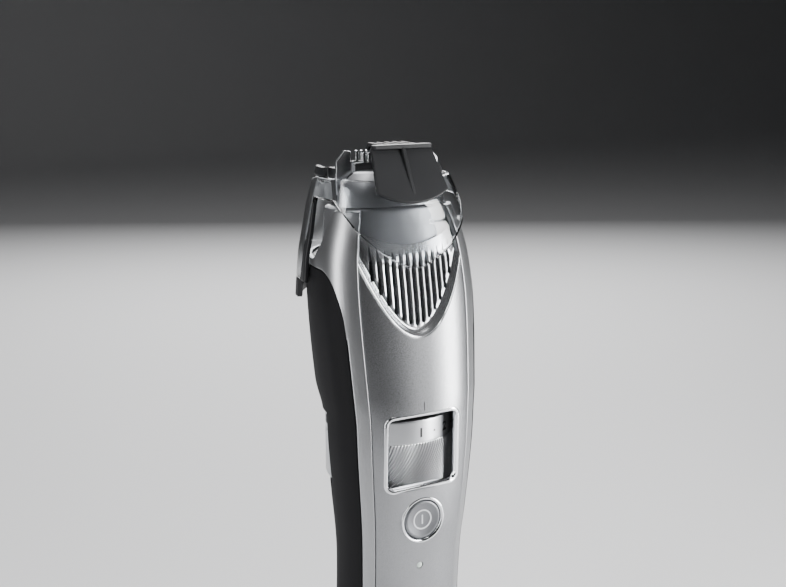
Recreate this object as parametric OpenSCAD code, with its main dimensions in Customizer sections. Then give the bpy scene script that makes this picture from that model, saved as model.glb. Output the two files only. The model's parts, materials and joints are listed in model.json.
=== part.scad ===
// Cordless beard trimmer with a wheel-set comb.
// +Z runs along the handle, z = 0 is the flat foot, the front (window, button) faces -Y.

/* [Body] */
// Handle height, from the foot to the underside of the height dial
handle_h = 88; // [78:0.5:106]
// Height of the shoulder above the dial's top
shoulder_rise = 30; // [27:0.5:36]
// Height of the collar line above the shoulder
collar_rise = 12; // [11:0.5:14]
// Width of the foot
foot_w = 35; // [30:0.5:42]
// Width at the waist, under the dial
waist_w = 36; // [34:0.5:43]
// Widest width, at the shoulder
shoulder_w = 45; // [43:0.5:54]
// Depth of the waist in front of the dial axis
waist_front = 18; // [17:0.1:21]
// Depth of the shoulder behind the dial axis
shoulder_rear = 27; // [25:0.5:32]
// Thickness of the outer skins
skin_t = 1.2; // [1:0.05:1.44]
// Thickness of the inner housing wall
wall_t = 1.3; // [1.1:0.05:1.56]

/* [Height dial] */
// Outer diameter of the dial
dial_d = 36.4; // [35:0.1:43.8]
// Height of the dial
dial_h = 19.8; // [18:0.2:24]
// Wall of the dial, outside to bore
dial_wall = 3.2; // [3:0.1:3.8]
// Height of the number band at the dial's top
band_h = 6.5; // [5.4:0.1:7.8]
// Turn from the lowest to the highest setting, degrees
dial_turn = 266; // [222:2:280]
// Turn of one click, degrees
click_turn = 14; // [12:1:16]
// Comb height gained by one click
click_rise = 0.5; // [0.4:0.05:0.6]
// Diameter of the follower pin
follower_d = 2; // [1.7:0.1:2.4]

/* [Window and button] */
// Width of the window's bright frame
window_w = 23.2; // [20:0.2:26]
// Height of the window's bright frame
window_h = 22; // [19:0.2:23]
// Width of that frame's border
bezel_t = 1.5; // [1.2:0.1:1.8]
// Corner radius of the window
window_r = 2.8; // [2.3:0.1:3.4]
// Height of the button centre below the dial
button_drop = 8.4; // [8.2:0.1:10]
// Diameter of the button cap
button_d = 10.8; // [9:0.1:11.6]
// Width of the bright ring round the button
ring_t = 1.2; // [1:0.05:1.44]
// Travel of the button
button_travel = 0.8; // [0.65:0.05:0.95]

/* [Drive] */
// Diameter of the motor
motor_d = 19.4; // [16:0.1:19.8]
// Length of the motor can
motor_l = 25; // [21:0.5:26]
// Diameter of the motor shaft
shaft_d = 2; // [1.7:0.1:2.4]
// Throw of the eccentric pin
throw = 1; // [0.85:0.05:1.2]
// Diameter of the eccentric pin
crank_pin_d = 1.6; // [1.4:0.1:1.9]

/* [Blades] */
// Width of the fixed blade
blade_w = 31; // [25.5:0.5:33]
// Height of the fixed blade, tips included
blade_h = 11.8; // [11:0.1:13]
// Thickness of each blade
blade_t = 1; // [0.84:0.02:1.2]
// Pitch of the blade teeth
tooth_pitch = 1.55; // [1.3:0.05:1.85]
// Length of the blade teeth
tooth_l = 2.8; // [2.4:0.1:3.3]

/* [Comb] */
// Wall of the clear comb frame
comb_t = 1.3; // [1.1:0.05:1.5]
// Height of the comb's top ledge above the blade tips
ledge_above = 1.8; // [1.6:0.1:2.6]
// Half width of the guard plate at the ledge
guard_top = 8.8; // [7.5:0.1:10]
// Half width of the guard plate at its lower corners
guard_low = 10.6; // [9:0.1:12.5]
// Thickness of the guard's plate and fin
guard_t = 1.2; // [1:0.05:1.44]
// Number of comb bars behind the ledge
bar_count = 5; // [3:2:7]

/* [Power] */
// Diameter of the battery cell
cell_d = 14; // [12:0.2:15]
// Length of the battery cell
cell_l = 50; // [42:0.5:52]
// Width of the charging inlet
inlet_w = 12; // [10:0.2:13]
// Depth of the charging inlet's opening, front to rear
inlet_d = 6.5; // [5.6:0.1:7.2]
// Length of the inlet's well
inlet_l = 7; // [6:0.2:7.6]
// Distance of the inlet behind the foot's centre
inlet_y = 5.6; // [5:0.1:6]
// Diameter of the contact pins
contact_d = 1.6; // [1.4:0.1:1.9]

/* [Hidden] */
$fn = 64;
eps = 0.02;               // overlap that makes two solids of one piece join
seam = 0.05;              // gap between two skins that meet edge to edge
slide_gap = 0.3;          // gap beside anything that moves
fit_gap = 0.1;            // gap of a turning or sliding fit

// Levels
axis_y = 2.1;                              // the dial, the motor and the crank share this axis
z_dial = handle_h;
z_dial_top = z_dial + dial_h;
z_shoulder = z_dial_top + shoulder_rise;
z_collar = z_shoulder + collar_rise;
z_head = z_collar + 14;                    // top of the painted head
z_cap = 8;                                 // joint between the base cap and the handle
z_roof = z_collar - 0.2;                   // top of the shoulder cover
z_neck = z_collar + 14.6;                  // top of the neck cover
z_blade = z_neck + 2.6;                    // lower edge of the fixed blade
z_tip = z_blade + blade_h;                 // tips of the fixed blade
z_ledge = z_tip + ledge_above;             // top of the comb

// Cross-section: [height, half width, front, rear], measured from the body's centre
dial_r = dial_d / 2;
dial_half = dial_r + 2.2;
dial_front = dial_r - axis_y + 1.6;        // the window's skin stands in front of the dial
body_rows = [
    [0, foot_w / 2, waist_front - 4.4, 14],
    [22, foot_w / 2 + 0.8, waist_front - 3.8, 15.4],
    [z_dial - 36, waist_w / 2 - 0.3, waist_front - 3, 13.6],
    [z_dial - 20, waist_w / 2, waist_front - 2.2, 12.6],
    [z_dial - 9, max(waist_w / 2 + 0.8, dial_r + 0.6), dial_front - 0.8, dial_r - 3.4],
    [z_dial + 10, dial_half, dial_front, dial_r + 1.8],
    [z_dial_top + 0.7, dial_half + 0.5, dial_front, dial_r + 3.6],
    [z_dial_top + 7, dial_half + 1, dial_front - 0.4, shoulder_rear - 0.2],
    [z_shoulder, shoulder_w / 2, dial_front - 3.4, shoulder_rear + 2],
    [z_collar, shoulder_w / 2 - 0.6, dial_front - 5.6, shoulder_rear + 1.2],
    [z_collar + 7, shoulder_w / 2 - 2, dial_front - 7.1, shoulder_rear - 2],
    [z_head, shoulder_w / 2 - 4.3, dial_front - 9.4, shoulder_rear - 8]];
neck_rows = [
    [z_collar - 2, shoulder_w / 2 - 2.6, dial_front - 9, 12.2],
    [z_collar + 6, shoulder_w / 2 - 3.8, dial_front - 9.4, 12],
    [z_neck, shoulder_w / 2 - 5.2, dial_front - 11.6, 10.6]];
hood_rows = [
    [z_neck - 0.2, shoulder_w / 2 - 5.2, dial_front - 11.6, 10.6],
    [z_neck + 4, shoulder_w / 2 - 5.6, dial_front - 12.9, 10],
    [z_neck + 9.2, shoulder_w / 2 - 6.4, dial_front - 17.2, 9]];
comb_rows = [
    [z_shoulder - 1, shoulder_w / 2 + 2.1, dial_front - 2, shoulder_rear + 4.4],
    [z_collar, shoulder_w / 2 + 0.8, dial_front - 3.9, shoulder_rear + 3.4],
    [z_collar + 7, shoulder_w / 2 - 0.7, dial_front - 4.7, shoulder_rear + 2.6],
    [z_collar + 15, shoulder_w / 2 - 2.3, dial_front - 6.7, shoulder_rear + 0.5],
    [z_collar + 22, shoulder_w / 2 - 3.9, dial_front - 10.2, shoulder_rear - 4.5],
    [z_collar + 26, shoulder_w / 2 - 5, dial_front - 12.2, shoulder_rear - 8]];
widest_behind_front = 12.6;                // how far the widest line lies behind the front
front_power = 2.6;                         // squareness of the front half
rear_power = 2.05;                         // squareness of the rear half
comb_power = 2.5;                          // squareness of the comb's rear half

// Seams, as angles round the section: 180 is the left side, 270 the front
panel_edge = 230.2;                        // front panel to side frame
grip_edge = 213.5;                         // side frame to rubber grip
grip_top = z_collar - 1.6;                 // the grip's top edge at the sides and rear
grip_arch = 17.4;                          // how far that edge drops along the side frame
tongue_half = 72;                          // half angle of the comb's rear tongue
cradle_half = 63;                          // half angle of the cradle under it

// Layers, as depths below the outer surface
housing_out = skin_t + 0.3;
housing_in = housing_out + wall_t;

// Drive
tube_in = motor_d / 2 + 0.15;
tube_out = tube_in + 1.1;
flange_t = 2;
z_motor = z_dial_top + 5.4;
z_motor_top = z_motor + motor_l;
z_cam = z_motor_top + 8;
cam_t = 4;
yoke_t = 4.5;
z_yoke = z_cam + cam_t + 1;
blade_gap = 0.05;
y_moving = axis_y - 0.45;                  // front face of the moving blade
y_fixed = y_moving + blade_t + blade_gap;  // front face of the fixed blade

// Lifter
lift_low = click_rise;                     // travel below the stored setting
rise_per_degree = click_rise / click_turn;
rail_y = max(axis_y + tube_out, 12.8) + 0.3; // inner face of the lifter's plate
rail_t = 1.7;
rail_w = 6.8;
z_follower = z_dial + 5.6;
groove_depth = 1.8;
groove_gap = 0.2;
dial_bore = dial_r - dial_wall;
z_cradle = z_shoulder + 0.2;               // lower edge of the cradle at the stored setting
cradle_h = 5.2;
arm_w = 6.4;
arm_h = 3.5;
z_arm = z_cradle + 0.8;

z_window = z_dial + 11.5;                  // centre of the window
z_button = z_dial - button_drop;
z_lamp = z_button - 14;
board_y = -9.6;                            // front face of the circuit board
board_t = 1.4;
plunger_l = 0.5;                           // the switch's plunger

// ---------- section functions ----------

// Slope of column c at row k, for a smooth curve through the rows
function slope(rows, k, c) =
    let (n = len(rows) - 1, a = max(k - 1, 0), b = min(k + 1, n))
    (rows[b][c] - rows[a][c]) / (rows[b][0] - rows[a][0]);

// Value of column c at height z
function at(rows, z, c) =
    let (n = len(rows) - 1,
         q = min(max(z, rows[0][0]), rows[n][0]),
         k = min(max([for (i = [0:n]) if (rows[i][0] <= q) i]), n - 1),
         h = rows[k + 1][0] - rows[k][0],
         t = (q - rows[k][0]) / h)
    (2 * t ^ 3 - 3 * t ^ 2 + 1) * rows[k][c] + (t ^ 3 - 2 * t ^ 2 + t) * h * slope(rows, k, c)
    + (3 * t ^ 2 - 2 * t ^ 3) * rows[k + 1][c] + (t ^ 3 - t ^ 2) * h * slope(rows, k + 1, c);

function signed_power(v, p) = sign(v) * abs(v) ^ p;

// Point of the section at angle t and height z, moved inwards by depth
function skin(rows, t, z, depth, rear = rear_power) =
    let (a = at(rows, z, 1) - depth,
         f = -at(rows, z, 2) + depth,
         r = at(rows, z, 3) - depth,
         m = f + widest_behind_front - depth,
         n = sin(t) < 0 ? front_power : rear)
    [a * signed_power(cos(t), 2 / n),
     m + (sin(t) < 0 ? m - f : r - m) * signed_power(sin(t), 2 / n), z];

function ring_points(rows, z, depth, steps = 72, rear = rear_power) =
    [for (i = [0:steps - 1]) let (p = skin(rows, 360 * i / steps, z, depth, rear)) [p[0], p[1]]];

// A wall that follows the section between two angles and two height functions
module wall(rows, t0, t1, low, high, depth_out, depth_in, across, up, rear = rear_power) {
    closed = t1 - t0 >= 360;
    cols = closed ? across : across + 1;
    side = [for (d = [depth_out, depth_in]) for (j = [0:up]) for (i = [0:cols - 1])
        let (t = t0 + (t1 - t0) * i / across)
        skin(rows, t, low(t) + (high(t) - low(t)) * j / up, d, rear)];
    m = cols * (up + 1);
    last = closed ? cols - 1 : cols - 2;
    function v(s, j, i) = s * m + j * cols + i % cols;
    faces = concat(
        [for (j = [0:up - 1]) for (i = [0:last]) each
            [[v(0, j, i), v(0, j + 1, i), v(0, j + 1, i + 1)],
             [v(0, j, i), v(0, j + 1, i + 1), v(0, j, i + 1)],
             [v(1, j, i), v(1, j + 1, i + 1), v(1, j + 1, i)],
             [v(1, j, i), v(1, j, i + 1), v(1, j + 1, i + 1)]]],
        [for (i = [0:last]) each
            [[v(0, 0, i), v(0, 0, i + 1), v(1, 0, i + 1)], [v(0, 0, i), v(1, 0, i + 1), v(1, 0, i)],
             [v(0, up, i), v(1, up, i + 1), v(0, up, i + 1)], [v(0, up, i), v(1, up, i), v(1, up, i + 1)]]],
        closed ? [] : [for (j = [0:up - 1]) each
            [[v(0, j, 0), v(1, j, 0), v(1, j + 1, 0)], [v(0, j, 0), v(1, j + 1, 0), v(0, j + 1, 0)],
             [v(0, j, cols - 1), v(1, j + 1, cols - 1), v(1, j, cols - 1)],
             [v(0, j, cols - 1), v(0, j + 1, cols - 1), v(1, j + 1, cols - 1)]]]);
    polyhedron(side, faces, convexity = 8);
}

// A solid that follows the section between two heights; depth(z) rounds its edges
module loft(rows, z0, z1, up, depth, steps = 72) {
    points = [for (j = [0:up]) for (i = [0:steps - 1])
        let (z = z0 + (z1 - z0) * j / up) skin(rows, 360 * i / steps, z, depth(z))];
    faces = concat(
        [for (j = [0:up - 1]) for (i = [0:steps - 1])
            let (a = j * steps + i, b = j * steps + (i + 1) % steps) each
            [[a, a + steps, b + steps], [a, b + steps, b]]],
        [[for (i = [0:steps - 1]) i]], [[for (i = [steps - 1:-1:0]) up * steps + i]]);
    polyhedron(points, faces, convexity = 6);
}

module box(x0, x1, y0, y1, z0, z1) {
    translate([x0, y0, z0]) cube([x1 - x0, y1 - y0, z1 - z0]);
}

// An outline drawn in X and Z, given thickness along Y from y0 to y1
module upright(y0, y1) {
    translate([0, y1, 0]) rotate([90, 0, 0]) linear_extrude(y1 - y0) children();
}

module rod(d, y0, y1, z, x = 0) {
    translate([x, y0, z]) rotate([-90, 0, 0]) cylinder(d = d, h = y1 - y0);
}

module rounded(w, h, r) {
    hull() for (x = [-1, 1]) for (y = [-1, 1])
        translate([x * (w / 2 - r), y * (h / 2 - r)]) circle(r, $fn = 32);
}

// ---------- seams ----------

// Height of the grip's top edge: level at the rear, a quarter ellipse down the side frame
function grip_line(t) =
    let (s = abs(t - 90) - 90, q = min(max(s / (grip_edge - 180), 0), 1))
    grip_top - grip_arch * (1 - sqrt(1 - q * q));
// Top edge of the side frame: low behind, rising to the head at the sides
function frame_top(t) =
    let (q = min(max((abs(t - 90) - 78) / 30, 0), 1))
    z_roof + 0.7 + (z_head - z_roof - 0.7) * q * q * (3 - 2 * q);
// Lower edge of the comb: a shallow V in front, arches at the sides, a tongue behind
function comb_low(t) =
    let (s = abs(t - 90),
         front = z_collar - 0.9 + 0.25 * (sqrt((180 - s) ^ 2 + 9) - 3),
         q = min(max((s - tongue_half) / 8, 0), 1),
         foot = z_cradle + cradle_h + 0.4,
         arch = foot + (z_collar + 16.5 - foot) * q * q * (3 - 2 * q))
    min(front, arch);
// Upper edge of the comb
function comb_high(t) =
    sin(t) < 0 ? z_collar + 21.5 + 0.7 * abs(cos(t)) : z_collar + 15.5 + 6.7 * abs(cos(t));

// ---------- handle ----------

module base_cap() {
    round_r = 2.4;
    color([0.16, 0.16, 0.17]) difference() {
        loft(body_rows, 0, z_cap, 8,
            function (z) z < round_r ? round_r - sqrt(max(round_r ^ 2 - (round_r - z) ^ 2, 0.01)) : 0, 56);
        difference() {
            loft(body_rows, inlet_l - 5, z_cap + 1, 2, function (z) housing_in + 0.6, 48);
            inlet_block(1.4, 0, z_cap + 2);
            for (x = [-1, 1]) translate([x * 12, 0, 0]) cylinder(d = 4.4, h = z_cap + 2);
        }
        inlet_block(0, -1, inlet_l);
        for (x = [-1, 1]) translate([x * inlet_w / 3.6, inlet_y, inlet_l - 1])
            cylinder(d = contact_d + seam, h = 4);
        for (x = [-1, 1]) translate([x * 12, 0, -1]) {
            cylinder(d = 2.1, h = z_cap + 3);
            cylinder(d = 3.9, h = 3.4);
        }
    }
}

// The inlet's outline grown by a margin, between two heights
module inlet_block(grow, z0, z1) {
    translate([0, inlet_y, 0])
        box(-inlet_w / 2 - grow, inlet_w / 2 + grow, -inlet_d / 2 - grow, inlet_d / 2 + grow, z0, z1);
}

module base_screws() {
    color([0.75, 0.75, 0.77]) for (x = [-1, 1]) translate([x * 12, 0, 0]) difference() {
        union() {
            translate([0, 0, 1.2]) cylinder(d = 3.7, h = 1.2);
            translate([0, 0, 2.4 - eps]) cylinder(d = 1.9, h = z_cap + 3.6);
        }
        translate([0, 0, 1]) for (a = [0, 90]) rotate(a) cube([2.2, 0.6, 1.4], center = true);
    }
}

module inlet_pins() {
    color([0.85, 0.7, 0.35]) for (x = [-1, 1])
        translate([x * inlet_w / 3.6, inlet_y, 2]) cylinder(d = contact_d, h = inlet_l + 2.5);
}

module lower_housing() {
    color([0.2, 0.2, 0.21]) {
        difference() {
            wall(body_rows, 0, 360, function (t) z_cap + seam, function (t) z_dial - 4,
                housing_out, housing_in, 40, 11);
            rod(button_d + 2 * ring_t + 0.4, -30, board_y, z_button);
            rod(3, -30, board_y, z_lamp);
        }
        difference() {
            for (x = [-1, 1]) translate([x * 12, 0, z_cap + seam]) cylinder(d = 4.4, h = 7);
            for (x = [-1, 1]) translate([x * 12, 0, 0]) cylinder(d = 1.94, h = z_cap + 10);
        }
    }
}

module battery_cell() {
    color([0.25, 0.42, 0.3]) translate([0, axis_y - 1, z_cap + 5]) {
        cylinder(d = cell_d, h = cell_l);
        translate([0, 0, cell_l - eps]) cylinder(d = cell_d * 0.4, h = 1);
    }
}

module battery_tabs() {
    color([0.8, 0.8, 0.78]) {
        box(-2.5, 2.5, board_y + board_t, axis_y, z_cap + 4.7, z_cap + 5);
        box(-2.5, 2.5, board_y + board_t, axis_y, z_cap + cell_l + 6, z_cap + cell_l + 6.3);
    }
}

module circuit_board() {
    color([0.1, 0.35, 0.2]) box(-10, 10, board_y, board_y + board_t, z_cap + 3.6, z_dial - 4.6);
}

module tact_switch() {
    color([0.3, 0.3, 0.32]) {
        box(-3, 3, board_y - 2.4, board_y, z_button - 3, z_button + 3);
        rod(3, board_y - 2.4 - plunger_l, board_y - 2.4 + eps, z_button);
    }
}

module lamp_led() {
    color([0.9, 0.95, 0.9]) box(-0.8, 0.8, board_y - 0.8, board_y, z_lamp - 0.6, z_lamp + 0.6);
}

module charge_lens() {
    front = -at(body_rows, z_lamp, 2);
    color([0.8, 0.9, 0.85]) rod(1.8, front + 0.05, board_y - 1, z_lamp);
}

// ---------- painted skins ----------

module front_panel() {
    color([0.62, 0.63, 0.65]) difference() {
        wall(body_rows, panel_edge, 540 - panel_edge, function (t) z_cap + seam, function (t) z_head,
            0, skin_t, 20, 28);
        translate([0, 0, z_window]) upright(-40, 0) rounded(window_w + 0.1, window_h + 0.1, window_r + 0.05);
        rod(button_d + 2 * ring_t + 0.1, -40, -8, z_button);
        rod(2, -40, -8, z_lamp);
        vent_cut();
        dial_clearance();
    }
}

// The grille's recess: a parabola that opens upwards
vent_low = z_dial_top + 22.6;
vent_curve = 0.08;
vent_top = z_head + 2;
module vent_cut() {
    reach = sqrt((vent_top - vent_low) / vent_curve);
    upright(-40, 0) polygon([for (i = [-16:16]) let (x = reach * i / 16) [x, vent_low + vent_curve * x * x]]);
}

module side_frame() {
    color([0.66, 0.67, 0.69]) {
        difference() {
            wall(body_rows, 180 - panel_edge + seam * 3, panel_edge - seam * 3,
                function (t) grip_line(t) + seam, function (t) frame_top(t), 0, skin_t, 80, 6);
            arm_slot();
        }
        for (side = [0, 1]) mirror([side, 0, 0])
            wall(body_rows, grip_edge + seam * 3, panel_edge - seam * 3,
                function (t) z_cap + seam, function (t) grip_top - grip_arch + seam, 0, skin_t, 4, 22);
    }
}

module rear_grip() {
    color([0.12, 0.12, 0.13]) difference() {
        wall(body_rows, 180 - grip_edge, grip_edge, function (t) z_cap + seam, function (t) grip_line(t),
            0, skin_t, 44, 24);
        dial_opening();
        dial_clearance();
        arm_slot();
    }
}

module dial_clearance() {
    translate([0, axis_y, z_dial - slide_gap]) cylinder(r = dial_r + 0.2, h = dial_h + 2 * slide_gap);
}

// The rear half is open round the dial, with a lip above and below
module dial_opening() {
    box(-40, 40, axis_y - 2, 40, z_dial - 0.7, z_dial_top + 0.7);
}

module arm_slot() {
    box(-arm_w / 2 - slide_gap, arm_w / 2 + slide_gap, rail_y - slide_gap, 50,
        z_arm - lift_low - slide_gap, z_collar + 20);
}

module upper_housing() {
    low = z_dial_top + 2.9;
    color([0.2, 0.2, 0.21]) difference() {
        wall(body_rows, 0, 360, function (t) low, function (t) z_roof - 1.9, housing_out, housing_in, 48, 6);
        box(-17.5, 17.5, -40, -6, vent_low - 2, z_head + 5);
        arm_slot();
    }
}

module shoulder_cover() {
    color([0.2, 0.2, 0.21]) difference() {
        translate([0, 0, z_roof - 1.8]) linear_extrude(1.8)
            polygon(ring_points(body_rows, z_roof, skin_t + 0.15));
        translate([0, 0, z_roof - 3]) linear_extrude(4)
            polygon(ring_points(neck_rows, z_roof - 2, -0.2));
        box(-17.5, 17.5, -40, -4, z_roof - 3, z_head);
        arm_slot();
    }
}

module vent_grille() {
    slot_w = 1;
    pitch = 1.95;
    rim = 3.4;
    depth = skin_t + 0.1;
    color([0.55, 0.56, 0.58]) difference() {
        wall(body_rows, 238, 302, function (t) vent_low - 1.4, function (t) z_collar + 4.9,
            depth, depth + 1.5, 18, 6);
        for (i = [-6:6]) let (x = i * pitch)
            box(x - slot_w / 2, x + slot_w / 2, -40, 0,
                vent_low + rim + vent_curve * x * x, z_collar + 3.3 + 0.02 * x * x);
    }
}

module neck_cover() {
    color([0.5, 0.5, 0.52]) difference() {
        loft(neck_rows, z_collar - 1.9, z_neck, 6, function (z) 0, 48);
        loft(neck_rows, z_collar - 3, z_neck - 1.4, 6, function (z) 1.4, 48);
        stem_opening(z_neck - 3, z_neck + 1);
    }
    // hood in front of the blades, over the yoke's foot
    color([0.5, 0.5, 0.52]) difference() {
        loft(hood_rows, z_neck - 0.1, z_neck + 9.2, 5, function (z) 0, 48);
        loft(hood_rows, z_neck - 1, z_neck + 10, 5, function (z) 1.1, 48);
        box(-30, 30, y_moving - 0.3, 30, z_neck - 1, z_neck + 11);
    }
}

stem_x = 3;                                // half width of the yoke's stem
stem_front = axis_y - 5;
stem_t = 1.8;
module stem_opening(z0, z1) {
    side = stem_x + throw + slide_gap + 0.1;
    box(-side, side, stem_front - slide_gap, stem_front + stem_t + slide_gap, z0, z1);
}

module window_bezel() {
    color([0.85, 0.86, 0.88]) difference() {
        intersection() {
            wall(body_rows, 236, 304, function (t) z_window - window_h, function (t) z_window + window_h,
                -0.25, skin_t, 16, 6);
            translate([0, 0, z_window]) upright(-40, 0) rounded(window_w, window_h, window_r);
        }
        translate([0, 0, z_window]) upright(-40, 0)
            rounded(window_w - 2 * bezel_t, window_h - 2 * bezel_t, window_r - bezel_t / 2);
        dial_clearance();
    }
}

// ---------- power button ----------

panel_front = -at(body_rows, z_button, 2);
ring_d = button_d + 2 * ring_t;

module button_ring() {
    color([0.85, 0.86, 0.88]) difference() {
        rod(ring_d, panel_front - 0.4, panel_front + 1.6, z_button);
        rod(button_d + 0.4, panel_front - 2, panel_front + 3, z_button);
    }
}

module power_button() {
    back = panel_front + 1.4;
    color([0.7, 0.7, 0.72]) {
        rod(button_d, panel_front - 0.2, back, z_button);
        rod(3, back - eps, board_y - 2.4 - plunger_l - button_travel - seam, z_button);
    }
}

module button_seal() {
    back = panel_front + 1.4 + button_travel + 0.2;
    color([0.1, 0.1, 0.1]) difference() {
        rod(ring_d, back, back + 0.5, z_button);
        rod(3.8, back - 1, back + 2, z_button);
    }
}

// ---------- chassis, dial and lifter ----------

module chassis_tube() {
    lip = dial_bore - fit_gap;
    color([0.3, 0.3, 0.32]) difference() {
        union() {
            translate([0, axis_y, z_dial - 4 + seam]) cylinder(r = tube_out, h = z_motor_top - z_dial + 3.5);
            translate([0, 0, z_dial - 4 + seam]) linear_extrude(flange_t)
                polygon(ring_points(body_rows, z_dial - 4, skin_t + 0.4));
            translate([0, 0, z_dial_top + 0.85]) linear_extrude(flange_t)
                polygon(ring_points(body_rows, z_dial_top + 0.8, skin_t + 0.8));
            translate([0, axis_y, z_dial_top - 1.5]) cylinder(r = lip, h = 3.6);
            translate([0, axis_y, z_dial - 0.7 + seam]) cylinder(r = lip, h = 2.1);
            intersection() {
                translate([0, axis_y, z_dial - 2.2]) cylinder(r = lip, h = 2);
                translate([0, 0, z_dial - 2.2]) linear_extrude(2)
                    polygon(ring_points(body_rows, z_dial - 2.2, skin_t + 0.4));
            }
        }
        translate([0, axis_y, z_dial - 6]) cylinder(r = tube_in, h = z_motor_top - z_dial + 20);
        difference() {
            translate([0, axis_y, z_dial - 1.6]) cylinder(r = lip - 1.3, h = dial_h + 2.4);
            translate([0, axis_y, z_dial - 6]) cylinder(r = tube_out, h = dial_h + 12);
        }
        box(-rail_w / 2 - slide_gap, rail_w / 2 + slide_gap, rail_y - slide_gap / 2,
            rail_y + rail_t + slide_gap, z_dial - 1, z_motor_top + 9);
        rod(ring_d + 2 * slide_gap, -30, -13, z_button);
    }
}

// A strip that climbs round the dial's bore, the shape of the follower's groove
module groove() {
    lead = asin((follower_d / 2 + groove_gap) / dial_bore) + 1.5;
    half = follower_d / 2 + groove_gap;
    steps = 72;
    t0 = 90 - click_turn - lead;
    t1 = 90 + dial_turn - click_turn + lead;
    inner = dial_bore - 1;
    outer = dial_bore + groove_depth;
    points = [for (i = [0:steps])
        let (t = t0 + (t1 - t0) * i / steps, z = z_follower + (t - 90) * rise_per_degree) each
        [[inner * cos(t), inner * sin(t), z - half], [outer * cos(t), outer * sin(t), z - half],
         [outer * cos(t), outer * sin(t), z + half], [inner * cos(t), inner * sin(t), z + half]]];
    e = 4 * steps;
    translate([0, axis_y, 0]) polyhedron(points, concat([[3, 2, 1, 0]], [[e, e + 1, e + 2, e + 3]],
        [for (i = [0:steps - 1]) for (k = [0:3]) let (a = 4 * i + k, b = 4 * i + (k + 1) % 4) each
            [[a, b + 4, a + 4], [a, b, b + 4]]]), convexity = 10);
}

module dial_drum() {
    notches = round(360 / click_turn);
    color([0.72, 0.73, 0.75]) difference() {
        union() {
            translate([0, axis_y, z_dial + 0.5 - eps])
                cylinder(r = dial_r, h = dial_h - band_h - 0.5 + eps, $fn = 120);
            translate([0, axis_y, z_dial]) cylinder(r1 = dial_r - 0.5, r2 = dial_r, h = 0.5, $fn = 120);
            translate([0, axis_y, z_dial]) cylinder(r = dial_r - 1.2, h = dial_h, $fn = 120);
        }
        translate([0, axis_y, z_dial - 1]) cylinder(r = dial_bore, h = dial_h + 2, $fn = 120);
        groove();
        for (i = [0:notches - 1]) translate([0, axis_y, z_dial]) rotate(360 * i / notches)
            translate([dial_bore + 0.4, -0.5, -1]) cube([1.2, 1, 1.5]);
    }
}

module number_ring() {
    color([0.75, 0.76, 0.78]) translate([0, axis_y, z_dial_top - band_h]) difference() {
        cylinder(r = dial_r - 0.15, h = band_h, $fn = 120);
        translate([0, 0, -1]) cylinder(r = dial_r - 1.2, h = band_h + 2, $fn = 120);
    }
}

module detent_spring() {
    z = z_dial - 2 + seam;
    x = dial_bore + 0.8;
    color([0.8, 0.78, 0.7]) {
        translate([-x - 0.8, axis_y - 5.5, z]) cube([1.6, 6, 0.3]);
        translate([-x - 0.8, axis_y - 0.5, z + 0.28]) cube([1.6, 1, z_dial - z - 0.5]);
    }
}

module lifter_carriage() {
    color([0.86, 0.86, 0.84]) {
        box(-rail_w / 2, rail_w / 2, rail_y, rail_y + rail_t, z_follower - 3.5, z_arm + arm_h);
        rod(follower_d, rail_y + rail_t - eps, axis_y + dial_bore + groove_depth - 0.3, z_follower);
        box(-arm_w / 2, arm_w / 2, rail_y + eps, at(comb_rows, z_arm, 3) - 1.5, z_arm, z_arm + arm_h);
    }
}

module comb_cradle() {
    color([0.1, 0.1, 0.11]) difference() {
        wall(comb_rows, 90 - cradle_half, 90 + cradle_half,
            function (t) z_cradle, function (t) z_cradle + cradle_h, 0, 1.9, 32, 3, comb_power);
        box(-arm_w / 2, arm_w / 2, 0, at(comb_rows, z_arm, 3) - 1.5, z_arm, z_arm + arm_h);
    }
}

// ---------- comb ----------

module comb_frame() {
    color([0.85, 0.9, 0.92, 0.5])
        wall(comb_rows, 0, 360, function (t) comb_low(t), function (t) comb_high(t), 0, comb_t, 120, 6, comb_power);
}

// Dark arms: a shoulder on top of the frame at each side, and a strut down to the cradle
module comb_arms() {
    base = z_collar + 22.2 + seam;
    foot = z_cradle + cradle_h + 0.4;
    color([0.13, 0.13, 0.14]) for (side = [0, 1]) mirror([side, 0, 0]) {
        wall(comb_rows, 158, 181, function (t) base, function (t) base + 2.4, 0, comb_t + 0.1, 8, 2, comb_power);
        difference() {
            wall(comb_rows, 90 + tongue_half + 1, 90 + tongue_half + 7,
                function (t) foot, function (t) comb_low(t), 0, comb_t, 2, 8, comb_power);
            wall(comb_rows, 90 + tongue_half - 6, 90 + tongue_half + 12, function (t) comb_low(t) - 2 * seam,
                function (t) z_collar + 18, -1, comb_t + 1, 6, 1, comb_power);
        }
    }
}

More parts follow.
